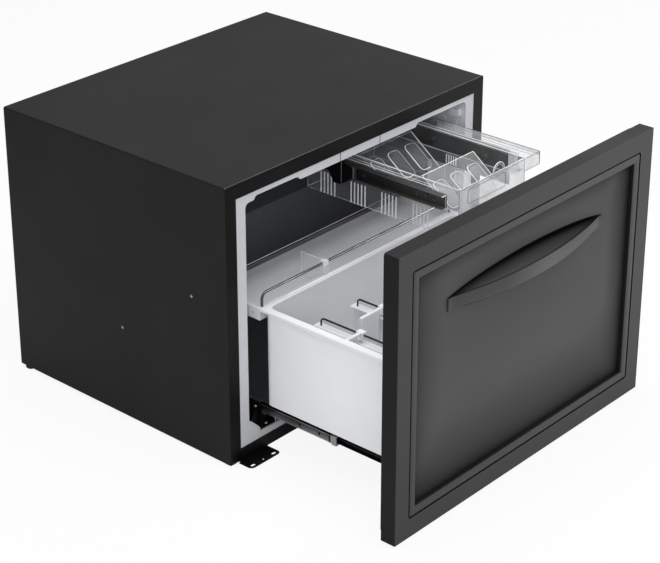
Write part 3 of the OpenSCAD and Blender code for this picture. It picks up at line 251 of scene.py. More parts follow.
def moulded(name, dark, light, low=0.38, high=0.5, painted_shading=(), **shares):
    """Injection-moulded plastic with a soft, slightly uneven skin."""
    shader = Shader(name, (low + high) / 2)
    shader.tint(5.0, dark, light).shaded(painted_shading, shares)
    shader.gloss(14.0, low, high).bumps(420, 0.00003, 0.2)
    return shader.material


def zinc_steel(name, dark, light, painted_shading=()):
    """Bright zinc-plated strip with drawing lines along Y."""
    shader = Shader(name, 0.34, 1.0)
    shader.tint(60, dark, light, stretch=(1, 0.06, 1)).shaded(painted_shading)
    shader.gloss(90, 0.26, 0.42, stretch=(1, 0.05, 1)).bumps(700, 0.00002, 0.2, stretch=(1, 0.05, 1))
    return shader.material


def chrome(name):
    """Chromed wire, with a painted highlight where it looks up to the front and painted shade on its other
    sides.
    """
    shader = Shader(name, 0.09, 1.0)
    shader.tint(30, "#6e7176", "#8a8d92").paint_highlight_by_facing((0, -0.8, 0.6), 14, 0.4, 2.2)
    shader.gloss(40, 0.06, 0.14).bumps(300, 0.00001, 0.1)
    return shader.material


def clear_plastic(name, dark, light, low, high):
    """Clear styrene: see-through, with a faint haze that drifts between two shares, low and high."""
    shader = Shader(name, 0.1, Specular_IOR_Level=0.7)
    shader.tint(16, dark, light).gloss(30, 0.06, 0.16).bumps(60, 0.00006, 0.12)
    haze = shader.spread(shader.noise(22, 4.0), NOISE_LOW, NOISE_HIGH, low, high)
    shader.link(haze, shader.bsdf.inputs["Alpha"])
    return shader.material


def rubber(name):
    """Black rubber with a fine grain."""
    shader = Shader(name, 0.8)
    shader.tint(80, "#0e0e0f", "#1b1b1c").gloss(60, 0.7, 0.9).bumps(1600, 0.00006, 0.3)
    return shader.material


def foam(name):
    """Cream insulation foam with open cells."""
    shader = Shader(name, 0.9)
    shader.tint(50, "#c8b070", "#e2d29c").gloss(60, 0.85, 0.95).bumps(700, 0.0003, 0.5)
    return shader.material


def copper(name):
    """Bright copper pipe."""
    shader = Shader(name, 0.3, 1.0)
    shader.tint(40, "#a35f3c", "#c98258").gloss(60, 0.22, 0.4).bumps(300, 0.00002, 0.1)
    return shader.material


# The coat of the drawer front: two shades and two degrees of roughness
FRONT_BLACK = ("#454545", "#4c4c4c", 0.42, 0.52)
# Painted shade: the front's skin and bead are darker towards the foot and the left
FRONT_SHADE = [(ALONG_Z, above_base(260), above_base(20), 0.82), (ALONG_X, 0.15, -0.29, 0.75)]

# Painted shade: the wrapper's sides and rear are darker than its top, and its front flange much darker
BLACK_SHEET = coated_steel("black_sheet", "#191919", "#1f1f1f", 0.42, 0.52, sheen=0.18,
                           x=(0.4, 0.4), y=(0.1, 0.8))
BLACK_FLANGE = coated_steel("black_flange", "#060607", "#0a0a0b", 0.38, 0.48)
# Painted light and shade: the front's sides, top and underside are darker than its face, the pressed pocket
# darkens with its depth, and the coat grows lighter towards the foot
FRONT_COAT = coated_steel("front_coat", *FRONT_BLACK, sheen=0.16, x=(0.08, 0.3), y=(1, 0.5), z=(0.05, 0.3),
                          painted_shading=[(ALONG_Y, SHEET_Y + 0.6 * MM, SHEET_Y + 8 * MM, 0.12),
                                (ALONG_Z, above_base(260), above_base(20), 1.35)])
# Painted shade: the skin's sides, top and underside are darker than its face, and it darkens with FRONT_SHADE
SKIN_COAT = coated_steel("skin_coat", *FRONT_BLACK, sheen=0.16, x=(0.08, 0.3), y=(1, 0.5), z=(0.05, 0.3),
                         painted_shading=FRONT_SHADE)
# Painted shade in the pressed pocket: faces that look down are darker, and the pocket is almost black in its
# upper part, above the lip
POCKET_SHADE_COAT = coated_steel("pocket_shade_coat", *FRONT_BLACK, sheen=0.16, y=(1, 0.5), z=(0.03, 0.95),
                           painted_shading=[(ALONG_Z, LIP_Z + 15 * MM, LIP_Z + 26 * MM, 0.03)])
# The bead is a lighter copy of the front's coat, a painted highlight on its crown, with painted shade by side
# and with FRONT_SHADE
BEAD_COAT = coated_steel("bead_coat", "#4e4e4e", "#565656", 0.42, 0.52, sheen=0.16,
                         x=(0.5, 0.3), y=(1, 0.5), z=(0.2, 0.6), painted_shading=FRONT_SHADE)
# Black for painted shadow in recesses, gaps and behind the lip, and for dark joints and holes
SHADOW_AND_JOINT_BLACK = coated_steel("shadow_and_joint_black", "#060606", "#0b0b0b", 0.6, 0.7)
# Painted light and shade: the lip's underside is much darker and its top a little darker than its face, and a
# painted highlight brightens its middle
LIP_COAT = coated_steel("lip_coat", "#383838", "#404040", 0.26, 0.36, z=(0.1, 0.8),
                        painted_highlights=[((0.02, LIP_Y, LIP_Z + 12 * MM), 0.11, 1.9)])
# Painted reflection: the channels' coat grows lighter towards the front
DARK_STEEL = coated_steel("dark_steel", "#232322", "#2d2d2c", 0.3, 0.42,
                          painted_shading=[(ALONG_Y, behind_front(-20), behind_front(-130), 3.8)])
WHITE_MOULDING = moulded("white_moulding", "#e4e5e8", "#ecedf0")
# Painted shade: the bin's faces that look to the front are darker, and the bin darkens behind its front rim
# and again towards its rear shelf
BIN_WHITE = moulded("bin_white", "#e6e7ea", "#eff0f3", y=(0.74, 1),
                    painted_shading=[(ALONG_Y, behind_front(-6), behind_front(3), 0.86),
                          (ALONG_Y, behind_front(80), behind_front(104), 0.66)])
# Painted highlight: a brighter white for the bin's edges and the plate screws' heads
HIGHLIGHT_WHITE = moulded("highlight_white", "#f8f8f9", "#fefefe", 0.25, 0.35)
# Grey for the screws' rings, and painted shade on the bin shelf's rear wall
GREY_RING_AND_SHADE = moulded("grey_ring_and_shade", "#424448", "#4e5054")
# Painted shade: the liner darkens to a quarter of its colour at the cavity's floor
WHITE_LINER = moulded("white_liner", "#d3d6db", "#dcdfe4",
                      painted_shading=[(ALONG_Z, above_base(34), above_base(27), 0.25)])
GREY_TRIM = moulded("grey_trim", "#c2c4c8", "#cccdd1")
GREY_BLOCK = moulded("grey_block", "#83868a", "#95989c")
DARK_MOULDING = moulded("dark_moulding", "#1b1c1f", "#27282b")
# Painted shadow: the step cover and the linings darken towards the cabinet's ceiling
STEP_GREY = moulded("step_grey", "#72757b", "#7f8288",
                    painted_shading=[(ALONG_Z, above_base(190), above_base(320), 0.3)])
COLD_PLATE = moulded("cold_plate", "#6a6d72", "#7d8085", 0.4, 0.55)
ZINC = zinc_steel("zinc_strip", "#85888c", "#a7aaae")
# Painted shade: the middle slides darken above a height of 62 mm, under the bin
GREY_SLIDE = zinc_steel("slide_strip", "#6a6b6b", "#808181",
                        painted_shading=[(ALONG_Z, above_base(55), above_base(62), 0.22)])
DARK_ZINC = zinc_steel("dark_strip", "#1c1d1e", "#2a2b2c")
CHROME = chrome("chrome_wire")
# The clear pieces are one clear styrene in copies of different haze and shade: the hazier and lighter ones on
# rims, edges, ribs, the front wall, the front rest and the flange are painted highlights where light catches
# them, and the greyer and fainter ones painted shade
CLEAR_WALL = clear_plastic("clear_wall", "#dfe3e8", "#f2f4f6", 0.02, 0.07)
CLEAR_SLOPE = clear_plastic("clear_slope", "#dfe3e8", "#f2f4f6", 0.1, 0.22)
CLEAR_EDGE = clear_plastic("clear_edge", "#e8ebef", "#f8f9fa", 0.75, 0.95)
CLEAR_FAINT = clear_plastic("clear_faint", "#c9ccd0", "#e6e8ea", 0.18, 0.4)
CLEAR_FRONT = clear_plastic("clear_front", "#d4d7da", "#f8f9fa", 0.5, 0.82)
PAD_EDGE = clear_plastic("pad_edge", "#d8dbde", "#f0f1f3", 0.4, 0.6)
CLEAR_FLANGE = clear_plastic("clear_flange", "#b4b7bb", "#d2d5d8", 0.28, 0.5)
EDGE_GREY = clear_plastic("edge_grey", "#7f8285", "#a2a5a8", 0.6, 0.9)
SCREW_STEEL = zinc_steel("screw_steel", "#c2c5c9", "#e2e4e7")
# Painted highlight for the fold of the wrapper's front edge
FOLD_HIGHLIGHT = coated_steel("fold_highlight_coat", "#7c7c7d", "#929293", 0.3, 0.4)
RUBBER = rubber("black_rubber")
FOAM = foam("cream_foam")
COPPER = copper("copper_pipe")

FINISHES = {
    BLACK_SHEET: ["outer_wrapper", "rear_panel", "machine_cover"],
    BLACK_FLANGE: ["bottom_panel", "floor_bracket_left", "floor_bracket_right", "slide_bracket_left",
                   "slide_bracket_right", "tray_hanger_left", "tray_hanger_right", "drawer_carrier_left",
                   "drawer_carrier_right", "compressor", "condenser_coil"],
    SKIN_COAT: ["front_skin"],
    FRONT_COAT: ["front_bead", "front_panel", "pull_cup"],
    LIP_COAT: ["pull_lip"],
    DARK_STEEL: ["tray_channels"],
    BIN_WHITE: ["drawer_bin"],
    WHITE_MOULDING: ["front_plug", "bottle_ledges", "separator_left", "separator_right",
                     "lamp_switch"],
    WHITE_LINER: ["inner_liner", "drip_tray"],
    GREY_TRIM: ["front_trim", "trim_clip"],
    GREY_BLOCK: ["rim_guides", "slide_end_caps"],
    DARK_MOULDING: ["control_box", "cable_gland"],
    STEP_GREY: ["step_cover"],
    COLD_PLATE: ["evaporator_plate"],
    ZINC: ["foot_screws", "bracket_screws", "rear_screws", "slide_screws", "side_rivets", "tray_rail_left",
           "tray_rail_right", "slide_fixed_left", "slide_fixed_right"],
    GREY_SLIDE: ["slide_middle_left", "slide_middle_right"],
    DARK_ZINC: ["slide_moving_left", "slide_moving_right"],
    CHROME: ["shelf_rail", "bottle_guards"],
    RUBBER: ["rubber_feet", "compressor_grommets", "door_gasket"],
    FOAM: ["insulation_foam", "front_foam"],
    COPPER: ["refrigerant_pipes"],
}


# How near each other, in metres, the points of a CAD node or of a made piece are welded
NODE_WELD, PIECE_WELD = 0.00001, 0.000001


def dress(node, material, bevel=0.0):
    """Gives a CAD node its finish and soft edges."""
    thing = NODES[node]
    thing.data.materials.clear()
    thing.data.materials.append(material)
    if bevel:
        weld = thing.modifiers.new("weld", "WELD")
        weld.merge_threshold = NODE_WELD
        soft = thing.modifiers.new("soft_edges", "BEVEL")
        soft.width = bevel * MM
        soft.segments = 2
        soft.limit_method = "ANGLE"
        soft.angle_limit = math.radians(35)
        soft.harden_normals = True


# How far the edges of some CAD nodes are rounded
BEVELS = {"outer_wrapper": 0.35, "front_skin": 0.5, "front_trim": 0.8, "drawer_bin": 0.9, "inner_liner": 0.8,
          "bottle_ledges": 0.5, "separator_left": 0.8, "separator_right": 0.8, "trim_clip": 0.5,
          "slide_end_caps": 0.5, "tray_channels": 0.2, "floor_bracket_left": 0.3, "floor_bracket_right": 0.3,
          "front_plug": 1.0}

for finish, members in FINISHES.items():
    for member in members:
        dress(member, finish, BEVELS.get(member, 0.0))


# Making pieces

def new_object(name, data):
    """A new object in the scene that shows this data."""
    made = bpy.data.objects.new(name, data)
    bpy.context.scene.collection.objects.link(made)
    return made


def weld_mesh(mesh):
    """Joins a mesh's doubled points, turns its faces outwards and shades them smooth."""
    made = bmesh.new()
    made.from_mesh(mesh)
    bmesh.ops.remove_doubles(made, verts=made.verts, dist=PIECE_WELD)
    bmesh.ops.recalc_face_normals(made, faces=made.faces)
    made.to_mesh(mesh)
    made.free()
    for face in mesh.polygons:
        face.use_smooth = True


def solid(name, points, faces, material, body):
    """A smooth mesh piece from points in the cabinet's own frame, riding on a body."""
    mesh = bpy.data.meshes.new(name)
    mesh.from_pydata([at(*p) for p in points], [], faces)
    mesh.validate()
    weld_mesh(mesh)
    mesh.materials.append(material)
    piece = new_object(name, mesh)
    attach(piece, body)
    return piece


def recoat(piece, material, chosen):
    """Gives a second material to the faces of a piece whose middle, in the cabinet's own frame, is chosen."""
    piece.data.materials.append(material)
    for face in piece.data.polygons:
        if chosen(own(face.center)):
            face.material_index = 1


def skin(rows, closed_rows=False, closed_columns=False):
    """Points and quads of a grid of rows of points."""
    height, width = len(rows), len(rows[0])
    points = [p for row in rows for p in row]
    faces = []
    for i in range(height if closed_columns else height - 1):
        for j in range(width if closed_rows else width - 1):
            k, m = (i + 1) % height, (j + 1) % width
            faces.append((i * width + j, i * width + m, k * width + m, k * width + j))
    return points, faces


def around(centre, side, lift, radius, count):
    """Points of a circle about a centre, in the plane of side and lift."""
    turns = [2 * math.pi * k / count for k in range(count)]
    return [tuple(centre + (side * math.cos(turn) + lift * math.sin(turn)) * radius) for turn in turns]


class Build:
    """Gathers the faces of one piece, each in one of the piece's materials, or else in its first."""

    BAR_SIDES, DISC_SIDES = 6, 16

    def __init__(self, *materials):
        self.materials = materials
        self.points, self.faces, self.marks = [], [], []

    def add(self, points, faces, material=None):
        """Faces over points of the cabinet's own frame."""
        start = len(self.points)
        self.points += points
        self.faces += [tuple(start + i for i in face) for face in faces]
        mark = 0 if material is None else self.materials.index(material)
        self.marks += [mark] * len(faces)

    def box(self, low, high, material=None):
        """A box between two corners."""
        (a, b, c), (d, e, f) = low, high
        points = [(a, b, c), (d, b, c), (d, e, c), (a, e, c), (a, b, f), (d, b, f), (d, e, f), (a, e, f)]
        faces = [(3, 2, 1, 0), (4, 5, 6, 7), (0, 1, 5, 4), (1, 2, 6, 5), (2, 3, 7, 6), (3, 0, 4, 7)]
        self.add(points, faces, material)

    def sheet(self, a, b, c, d, material=None):
        """A flat sheet between four points."""
        self.add([a, b, c, d], [(0, 1, 2, 3)], material)

    def sheet_x(self, x, y_span, z_span, material=None):
        """An upright sheet at x, over a span of y and of z."""
        (a, b), (c, d) = y_span, z_span
        self.sheet((x, a, c), (x, b, c), (x, b, d), (x, a, d), material)

    def sheet_y(self, y, x_span, z_span, material=None):
        """An upright sheet at y, over a span of x and of z."""
        (a, b), (c, d) = x_span, z_span
        self.sheet((a, y, c), (b, y, c), (b, y, d), (a, y, d), material)

    def sheet_z(self, z, x_span, y_span, material=None):
        """A level sheet at z, over a span of x and of y."""
        (a, b), (c, d) = x_span, y_span
        self.sheet((a, c, z), (b, c, z), (b, d, z), (a, d, z), material)

    def bar(self, path, radius, material=None, loop=False):
        """A round bar along a path of points."""
        count = len(path)
        rows = []
        for i, here in enumerate(path):
            here = Vector(here)
            way = Vector((0, 0, 0))
            if loop or i < count - 1:
                way += (Vector(path[(i + 1) % count]) - here).normalized()
            if loop or i > 0:
                way += (here - Vector(path[i - 1])).normalized()
            way.normalize()
            side = way.cross(Vector((0, 0, 1)))
            if side.length < 0.2:
                side = way.cross(Vector((0, 1, 0)))
            side.normalize()
            rows.append(around(here, side, side.cross(way), radius, self.BAR_SIDES))
        points, faces = skin(rows, closed_rows=True, closed_columns=loop)
        if not loop:
            faces.append(tuple(range(self.BAR_SIDES - 1, -1, -1)))
            faces.append(tuple((count - 1) * self.BAR_SIDES + k for k in range(self.BAR_SIDES)))
        self.add(points, faces, material)

    def disc(self, centre, axis, radius, height, material=None):
        """A round head with a rounded rim, which stands on centre and grows along axis."""
        axis = Vector(axis).normalized()
        side = axis.orthogonal().normalized()
        lift = axis.cross(side)
        rows = []
        for reach, rise in ((1.0, 0.0), (1.0, 0.55), (0.86, 1.0), (0.01, 1.0)):
            middle = Vector(centre) + axis * (rise * height)
            rows.append(around(middle, side, lift, radius * reach, self.DISC_SIDES))
        points, faces = skin(rows, closed_rows=True)
        self.add(points, faces, material)

    def piece(self, name, body, smooth=False):
        """The gathered faces as one piece that rides on a body."""
        mesh = bpy.data.meshes.new(name)
        mesh.from_pydata([at(*p) for p in self.points], [], self.faces)
        for material in self.materials:
            mesh.materials.append(material)
        for face, mark in zip(mesh.polygons, self.marks):
            face.material_index = mark
            face.use_smooth = smooth
        made = new_object(name, mesh)
        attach(made, body)
        return made


def rounded_loop(half_x, half_y, radius, steps=4):
    """Points of a rounded rectangle about the origin."""
    loop = []
    for turn, (cx, cy) in enumerate(((1, 1), (-1, 1), (-1, -1), (1, -1))):
        for k in range(steps + 1):
            angle = math.radians(90 * turn + 90 * k / steps)
            loop.append((cx * (half_x - radius) + radius * math.cos(angle),
                         cy * (half_y - radius) + radius * math.sin(angle)))
    return loop


# Drawer front: the pressed sheet with its finger pocket, and the bowed lip

skin_low, skin_high = own_box("front_skin")
panel_low, panel_high = own_box("front_panel")
lip_low, lip_high = own_box("pull_lip")
PANEL_Y = panel_low.y
HALF_LIP = (lip_high.x - lip_low.x) / 2
BOW = PANEL_Y - lip_low.y
LIP_TOP = lip_high.z
LIP_FOOT = lip_low.z
# The spindle that presses the pocket: its depth, half height, waist radius and middle, and its edge's radius
POCKET_DEPTH = 13.0
POCKET_HALF = 20.0
POCKET_WAIST = (POCKET_HALF ** 2 / POCKET_DEPTH + POCKET_DEPTH) / 2
POCKET_Z = LIP_FOOT + 1 + POCKET_HALF
EDGE_ROUND = 1.1


def sagitta_radius(half_chord, rise):
    """The radius of an arc with this half chord and rise."""
    return (half_chord ** 2 + rise ** 2) / (2 * rise)


def bow_at(x):
    """How far the lip stands out of the panel at x."""
    radius = sagitta_radius(HALF_LIP, BOW)
    return math.sqrt(radius ** 2 - x ** 2) - radius + BOW


def pocket_depth(x, z):
    """Depth of the pressed pocket: a spindle lying along X, with a soft edge."""
    if abs(x) >= HALF_LIP:
        return 0.0
    radius = sagitta_radius(HALF_LIP, POCKET_DEPTH)
    waist = math.sqrt(radius ** 2 - x ** 2) - radius + POCKET_WAIST
    rest = waist ** 2 - (z - POCKET_Z) ** 2
    raw = (math.sqrt(rest) if rest > 0 else 0.0) - (POCKET_WAIST - POCKET_DEPTH)
    if raw > 12 * EDGE_ROUND:
        return raw
    return EDGE_ROUND * math.log(1 + math.exp(raw / EDGE_ROUND))


def spaced(low, high, step):
    """Numbers from low to high, about a step apart."""
    count = max(1, round((high - low) / step))
    return [low + (high - low) * i / count for i in range(count + 1)]


def front_sheet():
    """The recessed sheet of the drawer front, pressed in behind the lip."""
    step_x, step_z = 3.1, 0.8
    flat_z = 200
    xs = [-panel_high.x] + spaced(-HALF_LIP - 4, HALF_LIP + 4, step_x) + [panel_high.x]
    zs = [panel_low.z, flat_z] + spaced(LIP_FOOT - 8, LIP_TOP + 30, step_z) + [panel_high.z]
    points, faces = skin([[(x, PANEL_Y + pocket_depth(x, z), z) for x in xs] for z in zs])
    sheet = solid("front_sheet", points, faces, FRONT_COAT, "drawer")
    # The pocket's faces take the pocket coat with its painted shade
    recoat(sheet, POCKET_SHADE_COAT, lambda point: abs(point.x) < HALF_LIP and point.y > PANEL_Y + 0.5)
    thick = sheet.modifiers.new("sheet_thickness", "SOLIDIFY")
    thick.thickness = 1.0 * MM
    thick.offset = -1
    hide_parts("front_panel", "pull_cup")


def grip_lip():
    """The bowed grip: a blade that is taller in its middle and turns in below to meet the sheet."""
    thick, turn, turn_steps = 3.0, 6.0, 8
    rim_low, rim_mid = LIP_TOP - 0.9, LIP_TOP - 0.25
    rows = []
    for x in spaced(-HALF_LIP, HALF_LIP, 4.0):
        out = max(2.6, bow_at(x))
        inner = max(0.4, out - thick)
        front, back = PANEL_Y - out, PANEL_Y - inner
        share = abs(x) / HALF_LIP
        foot = LIP_FOOT + 5.5 * share ** 2
        sill = foot + thick * min(1, out / 8)
        radius = min(turn, out * 0.8)
        ring = [(x, front + min(1.1, out - inner), LIP_TOP), (x, front + 0.2, rim_mid), (x, front, rim_low)]
        for i in range(turn_steps + 1):
            angle = math.radians(90 * i / turn_steps)
            ring.append((x, front + radius - radius * math.cos(angle),
                         foot + radius - radius * math.sin(angle)))
        ring += [(x, PANEL_Y, foot), (x, PANEL_Y, sill), (x, PANEL_Y - max(0.2, inner - 2.0), sill),
                 (x, back, foot + thick + 2), (x, back, rim_low), (x, back - 0.2, rim_mid),
                 (x, back - 0.6, LIP_TOP)]
        rows.append(ring)
    points, faces = skin(rows, closed_rows=True)
    width = len(rows[0])
    faces.append(tuple(range(width - 1, -1, -1)))
    faces.append(tuple((len(rows) - 1) * width + i for i in range(width)))
    lip = solid("grip_lip", points, faces, LIP_COAT, "drawer")

    def behind_blade(point):
        """Whether a point lies inside the pocket, behind the blade's front."""
        blade_y = PANEL_Y - bow_at(min(abs(point.x), HALF_LIP - 0.01))
        return point.z > LIP_FOOT + 3 and point.y > blade_y + 1.2

    # Painted shadow: the lip's faces inside the pocket, behind its front, are black
    recoat(lip, SHADOW_AND_JOINT_BLACK, behind_blade)
    lip.data.set_sharp_from_angle(angle=math.radians(50))
    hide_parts("pull_lip")


def front_frame():
    """The crowned bead with its inner walls painted black as shade, the painted black shadow of the joint
    beside it, and black strips of painted shade along the front's side edges.
    """
    bead_low, bead_high = own_box("front_bead")
    middle_z, half_z = (bead_low.z + bead_high.z) / 2, (bead_high.z - bead_low.z) / 2
    face_y = skin_low.y
    width, corner = 14.1, 4.0

    def ring(inset, radius, y):
        """A rounded rectangle inside the bead's outline, at y."""
        loop = rounded_loop(bead_high.x - inset, half_z - inset, radius, 3)
        return [(x, y, middle_z + z) for x, z in loop]

    foot_y = face_y + 0.7
    rise = foot_y - bead_low.y
    profile = [(1.7, PANEL_Y), (1.7, face_y + 1.6), (1.9, face_y + 0.5)]
    for i in range(2, 10):
        profile.append((width * i / 10, foot_y - rise * math.sin(math.pi * i / 10)))
    profile += [(width - 0.35, face_y + 0.9), (width, face_y + 1.5), (width, PANEL_Y)]
    rings = [ring(inset, max(0.6, corner - inset), y) for inset, y in profile]
    last = len(rings) - 2
    # The bead's inner walls and its outer groove wall are painted black: painted shade
    bead = Build(BEAD_COAT, SHADOW_AND_JOINT_BLACK)
    for i in range(last + 1):
        points, faces = skin(rings[i:i + 2], closed_rows=True)
        bead.add(points, faces, SHADOW_AND_JOINT_BLACK if i in (0, 1, last) else BEAD_COAT)
    made = bead.piece("crowned_bead", "drawer")
    weld_mesh(made.data)
    made.data.set_sharp_from_angle(angle=math.radians(40))
    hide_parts("front_bead")

    joint = Build(SHADOW_AND_JOINT_BLACK)
    joint_y = face_y + 1.7
    points, faces = skin([ring(-1.2, 5.7, joint_y), ring(1.9, 4.5, joint_y)], closed_rows=True)
    joint.add(points, faces)
    # Black strips along the front's side edges: painted shade
    for side in (-1, 1):
        left, right = sorted((side * (skin_high.x + 0.05), side * (skin_high.x - 1.4)))
        joint.box((left, face_y - 0.06, skin_low.z + 1), (right, face_y + 1.2, skin_high.z - 1))
    joint.piece("joint_shadow", "drawer")


front_sheet()
grip_lip()
front_frame()


# Clear pieces

tray_low, tray_high = own_box("clear_tray")
channel_low, channel_high = own_box("tray_channels")
TRAY_LEFT = tray_low.x + 2
TRAY_RIGHT = channel_high.x - 25.6
FLANGE_X = tray_high.x
TRAY_FRONT = tray_low.y + 2
TRAY_REAR = tray_high.y - 2
TRAY_FLOOR = tray_low.z
TRAY_TOP = channel_high.z + 2
PARTITION_X, PARTITION_TOP = TRAY_LEFT + 126, TRAY_TOP - 14
WING_X, WING_Y, WING_Z = TRAY_LEFT - 10, TRAY_FRONT + 26, TRAY_TOP - 5
# The flange's apron stands a little before the tray's front
APRON_Y = TRAY_FRONT - 1
# The rims are round bars of this radius
RIM = 0.75


def tray_walls(tray):
    """The walls, floor, partition, flange and wing."""
    across, along, upright = (TRAY_LEFT, TRAY_RIGHT), (TRAY_FRONT, TRAY_REAR), (TRAY_FLOOR, TRAY_TOP)
    beside = (TRAY_RIGHT, FLANGE_X)
    tray.sheet_x(TRAY_LEFT, along, upright)
    tray.sheet_x(TRAY_RIGHT, along, upright)
    tray.sheet_y(TRAY_FRONT, across, upright, CLEAR_FRONT)
    tray.sheet_y(TRAY_REAR, across, upright)
    tray.sheet_z(TRAY_FLOOR + 1, across, along)
    tray.sheet_x(PARTITION_X, along, (TRAY_FLOOR, PARTITION_TOP))
    tray.sheet_z(TRAY_TOP - 0.6, beside, along, CLEAR_FLANGE)
    tray.sheet_y(APRON_Y, beside, (TRAY_TOP - 22, TRAY_TOP), CLEAR_FLANGE)
    tray.sheet_x(FLANGE_X - 1, along, (TRAY_TOP - 6, TRAY_TOP), CLEAR_FLANGE)
    tray.sheet_z(WING_Z, (WING_X, TRAY_LEFT), (WING_Y, TRAY_REAR))


def tray_rims(tray):
    """The rims at the tray's top and floor, its upright corners and the line along its front."""
    x0, x1, y0, y1, z0, z1 = TRAY_LEFT, TRAY_RIGHT, TRAY_FRONT, TRAY_REAR, TRAY_FLOOR, TRAY_TOP
    rim = rounded_loop((x1 - x0) / 2 - 0.4, (y1 - y0) / 2 - 0.4, 4.5, 3)
    rim = [((x0 + x1) / 2 + x, (y0 + y1) / 2 + y) for x, y in rim]
    for z, radius, material in ((z1 - RIM, RIM, CLEAR_EDGE), (z1 - 3.2, 0.45, CLEAR_FAINT),
                                (z0 + RIM, RIM, CLEAR_FAINT)):
        tray.bar([(x, y, z) for x, y in rim], radius, material, loop=True)
    left, right, front, rear = x0 + 0.8, x1 - 0.8, y0 + 0.8, y1 - 0.8
    for x, y, material in ((left, front, EDGE_GREY), (right, front, EDGE_GREY), (right, rear, CLEAR_FAINT),
                           (left, rear, CLEAR_FAINT)):
        tray.bar([(x, y, z0 + 1), (x, y, z1 - 1)], 0.7, material)
    tray.bar([(x0 + 3, y0 - 0.4, z1 - 1.9), (x1 - 3, y0 - 0.4, z1 - 1.9)], 0.35, EDGE_GREY)


def tray_flange(tray):
    """The flange's edges and ridges, and the light end block between the tray and the plate."""
    x, y, top, rear = TRAY_RIGHT, TRAY_FRONT, TRAY_TOP, TRAY_REAR
    outer, under, apron_z = FLANGE_X - RIM, TRAY_TOP - RIM, TRAY_TOP - 21.4
    tray.bar([(x, APRON_Y, under), (outer, APRON_Y, under), (outer, rear, under)], RIM, EDGE_GREY)
    tray.bar([(outer, APRON_Y, top - 6), (outer, rear - 2, top - 6)], 0.5, EDGE_GREY)
    tray.bar([(x, APRON_Y, apron_z), (outer, APRON_Y, apron_z), (outer, APRON_Y, top - 1)], 0.7, EDGE_GREY)
    tray.bar([(x + 17, y - 0.6, top - 0.8), (x + 17, rear, top - 0.8)], 0.4, EDGE_GREY)
    tray.bar([(x + 7, y + 6, top - 0.3), (x + 7, rear, top - 0.3)], 0.5, CLEAR_EDGE)
    tray.box((x + 1.2, y + 22.2, top - 34), (x + 11.8, y + 33, top - 1.5), CLEAR_FRONT)


def tray_ridges(tray):
    """The edges of the wing and the partition."""
    wing_ridge = TRAY_TOP - 4.8
    tray.bar([(WING_X, WING_Y, WING_Z), (WING_X, TRAY_REAR, WING_Z)], 0.45, CLEAR_EDGE)
    tray.bar([(TRAY_LEFT - 4, WING_Y, wing_ridge), (TRAY_LEFT - 4, TRAY_REAR, wing_ridge)], 0.35, CLEAR_EDGE)
    tray.bar([(PARTITION_X, TRAY_FRONT + 2, PARTITION_TOP), (PARTITION_X, TRAY_REAR - 2, PARTITION_TOP)], 0.7,
             CLEAR_FAINT)


def tray_combs(tray):
    """The comb ribs on the left wall and the partition."""
    comb_pitch, rib_pitch, fine_pitch = 61.5, 7, 4.6
    x, z = TRAY_LEFT, TRAY_FLOOR
    for comb in range(4):
        for rib in range(5):
            y = TRAY_FRONT + 57 + comb * comb_pitch + rib * rib_pitch
            tray.box((x - 1.2, y, z + 0.5), (x, y + 1.7, z + 35.5), CLEAR_EDGE)
            tray.bar([(x - 0.4, y + 0.6, z + 1.6), (x - 0.4, y + 3.2, z + 1.6)], 0.6, CLEAR_EDGE)
    x, z = PARTITION_X, PARTITION_TOP
    for rib in range(5):
        y = TRAY_FRONT + 104 + rib * fine_pitch
        tray.box((x - 1.2, y, z - 18), (x, y + 1.3, z - 3), CLEAR_EDGE)


def tray_front_marks(tray):
    """The dome and the raised frame on the front wall."""
    dome_x, dome_z = TRAY_LEFT + 95, TRAY_TOP - 0.6

    def dome_arc(radius, steps=14):
        """Points of a half circle that stands on the rim."""
        turns = [math.pi * k / steps for k in range(steps + 1)]
        return [(dome_x + radius * math.cos(turn), TRAY_FRONT + 0.6, dome_z + radius * math.sin(turn))
                for turn in turns]

    tray.bar(dome_arc(14.2), 0.75, CLEAR_EDGE)
    tray.bar(dome_arc(11.0), 0.4, CLEAR_EDGE)
    fan = dome_arc(14)
    tray.add(fan, [tuple(range(len(fan)))])
    frame_x, frame_z = (TRAY_LEFT + PARTITION_X + 6) / 2, TRAY_TOP - 18
    loop = rounded_loop((PARTITION_X - TRAY_LEFT - 34) / 2, 11.4, 3, 3)
    tray.bar([(frame_x + x, TRAY_FRONT - 0.4, frame_z + z) for x, z in loop], 0.5, EDGE_GREY, loop=True)


def clear_tray():
    """Thin clear walls, with rims, corners and ribs in hazier, lighter clear: painted highlights where they
    catch the light.
    """
    tray = Build(CLEAR_WALL, CLEAR_EDGE, CLEAR_FRONT, CLEAR_FLANGE, EDGE_GREY, CLEAR_FAINT)
    for add_part in (tray_walls, tray_rims, tray_flange, tray_ridges, tray_combs, tray_front_marks):
        add_part(tray)
    made = tray.piece("clear_tray_shell", "tray")
    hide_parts("clear_tray")


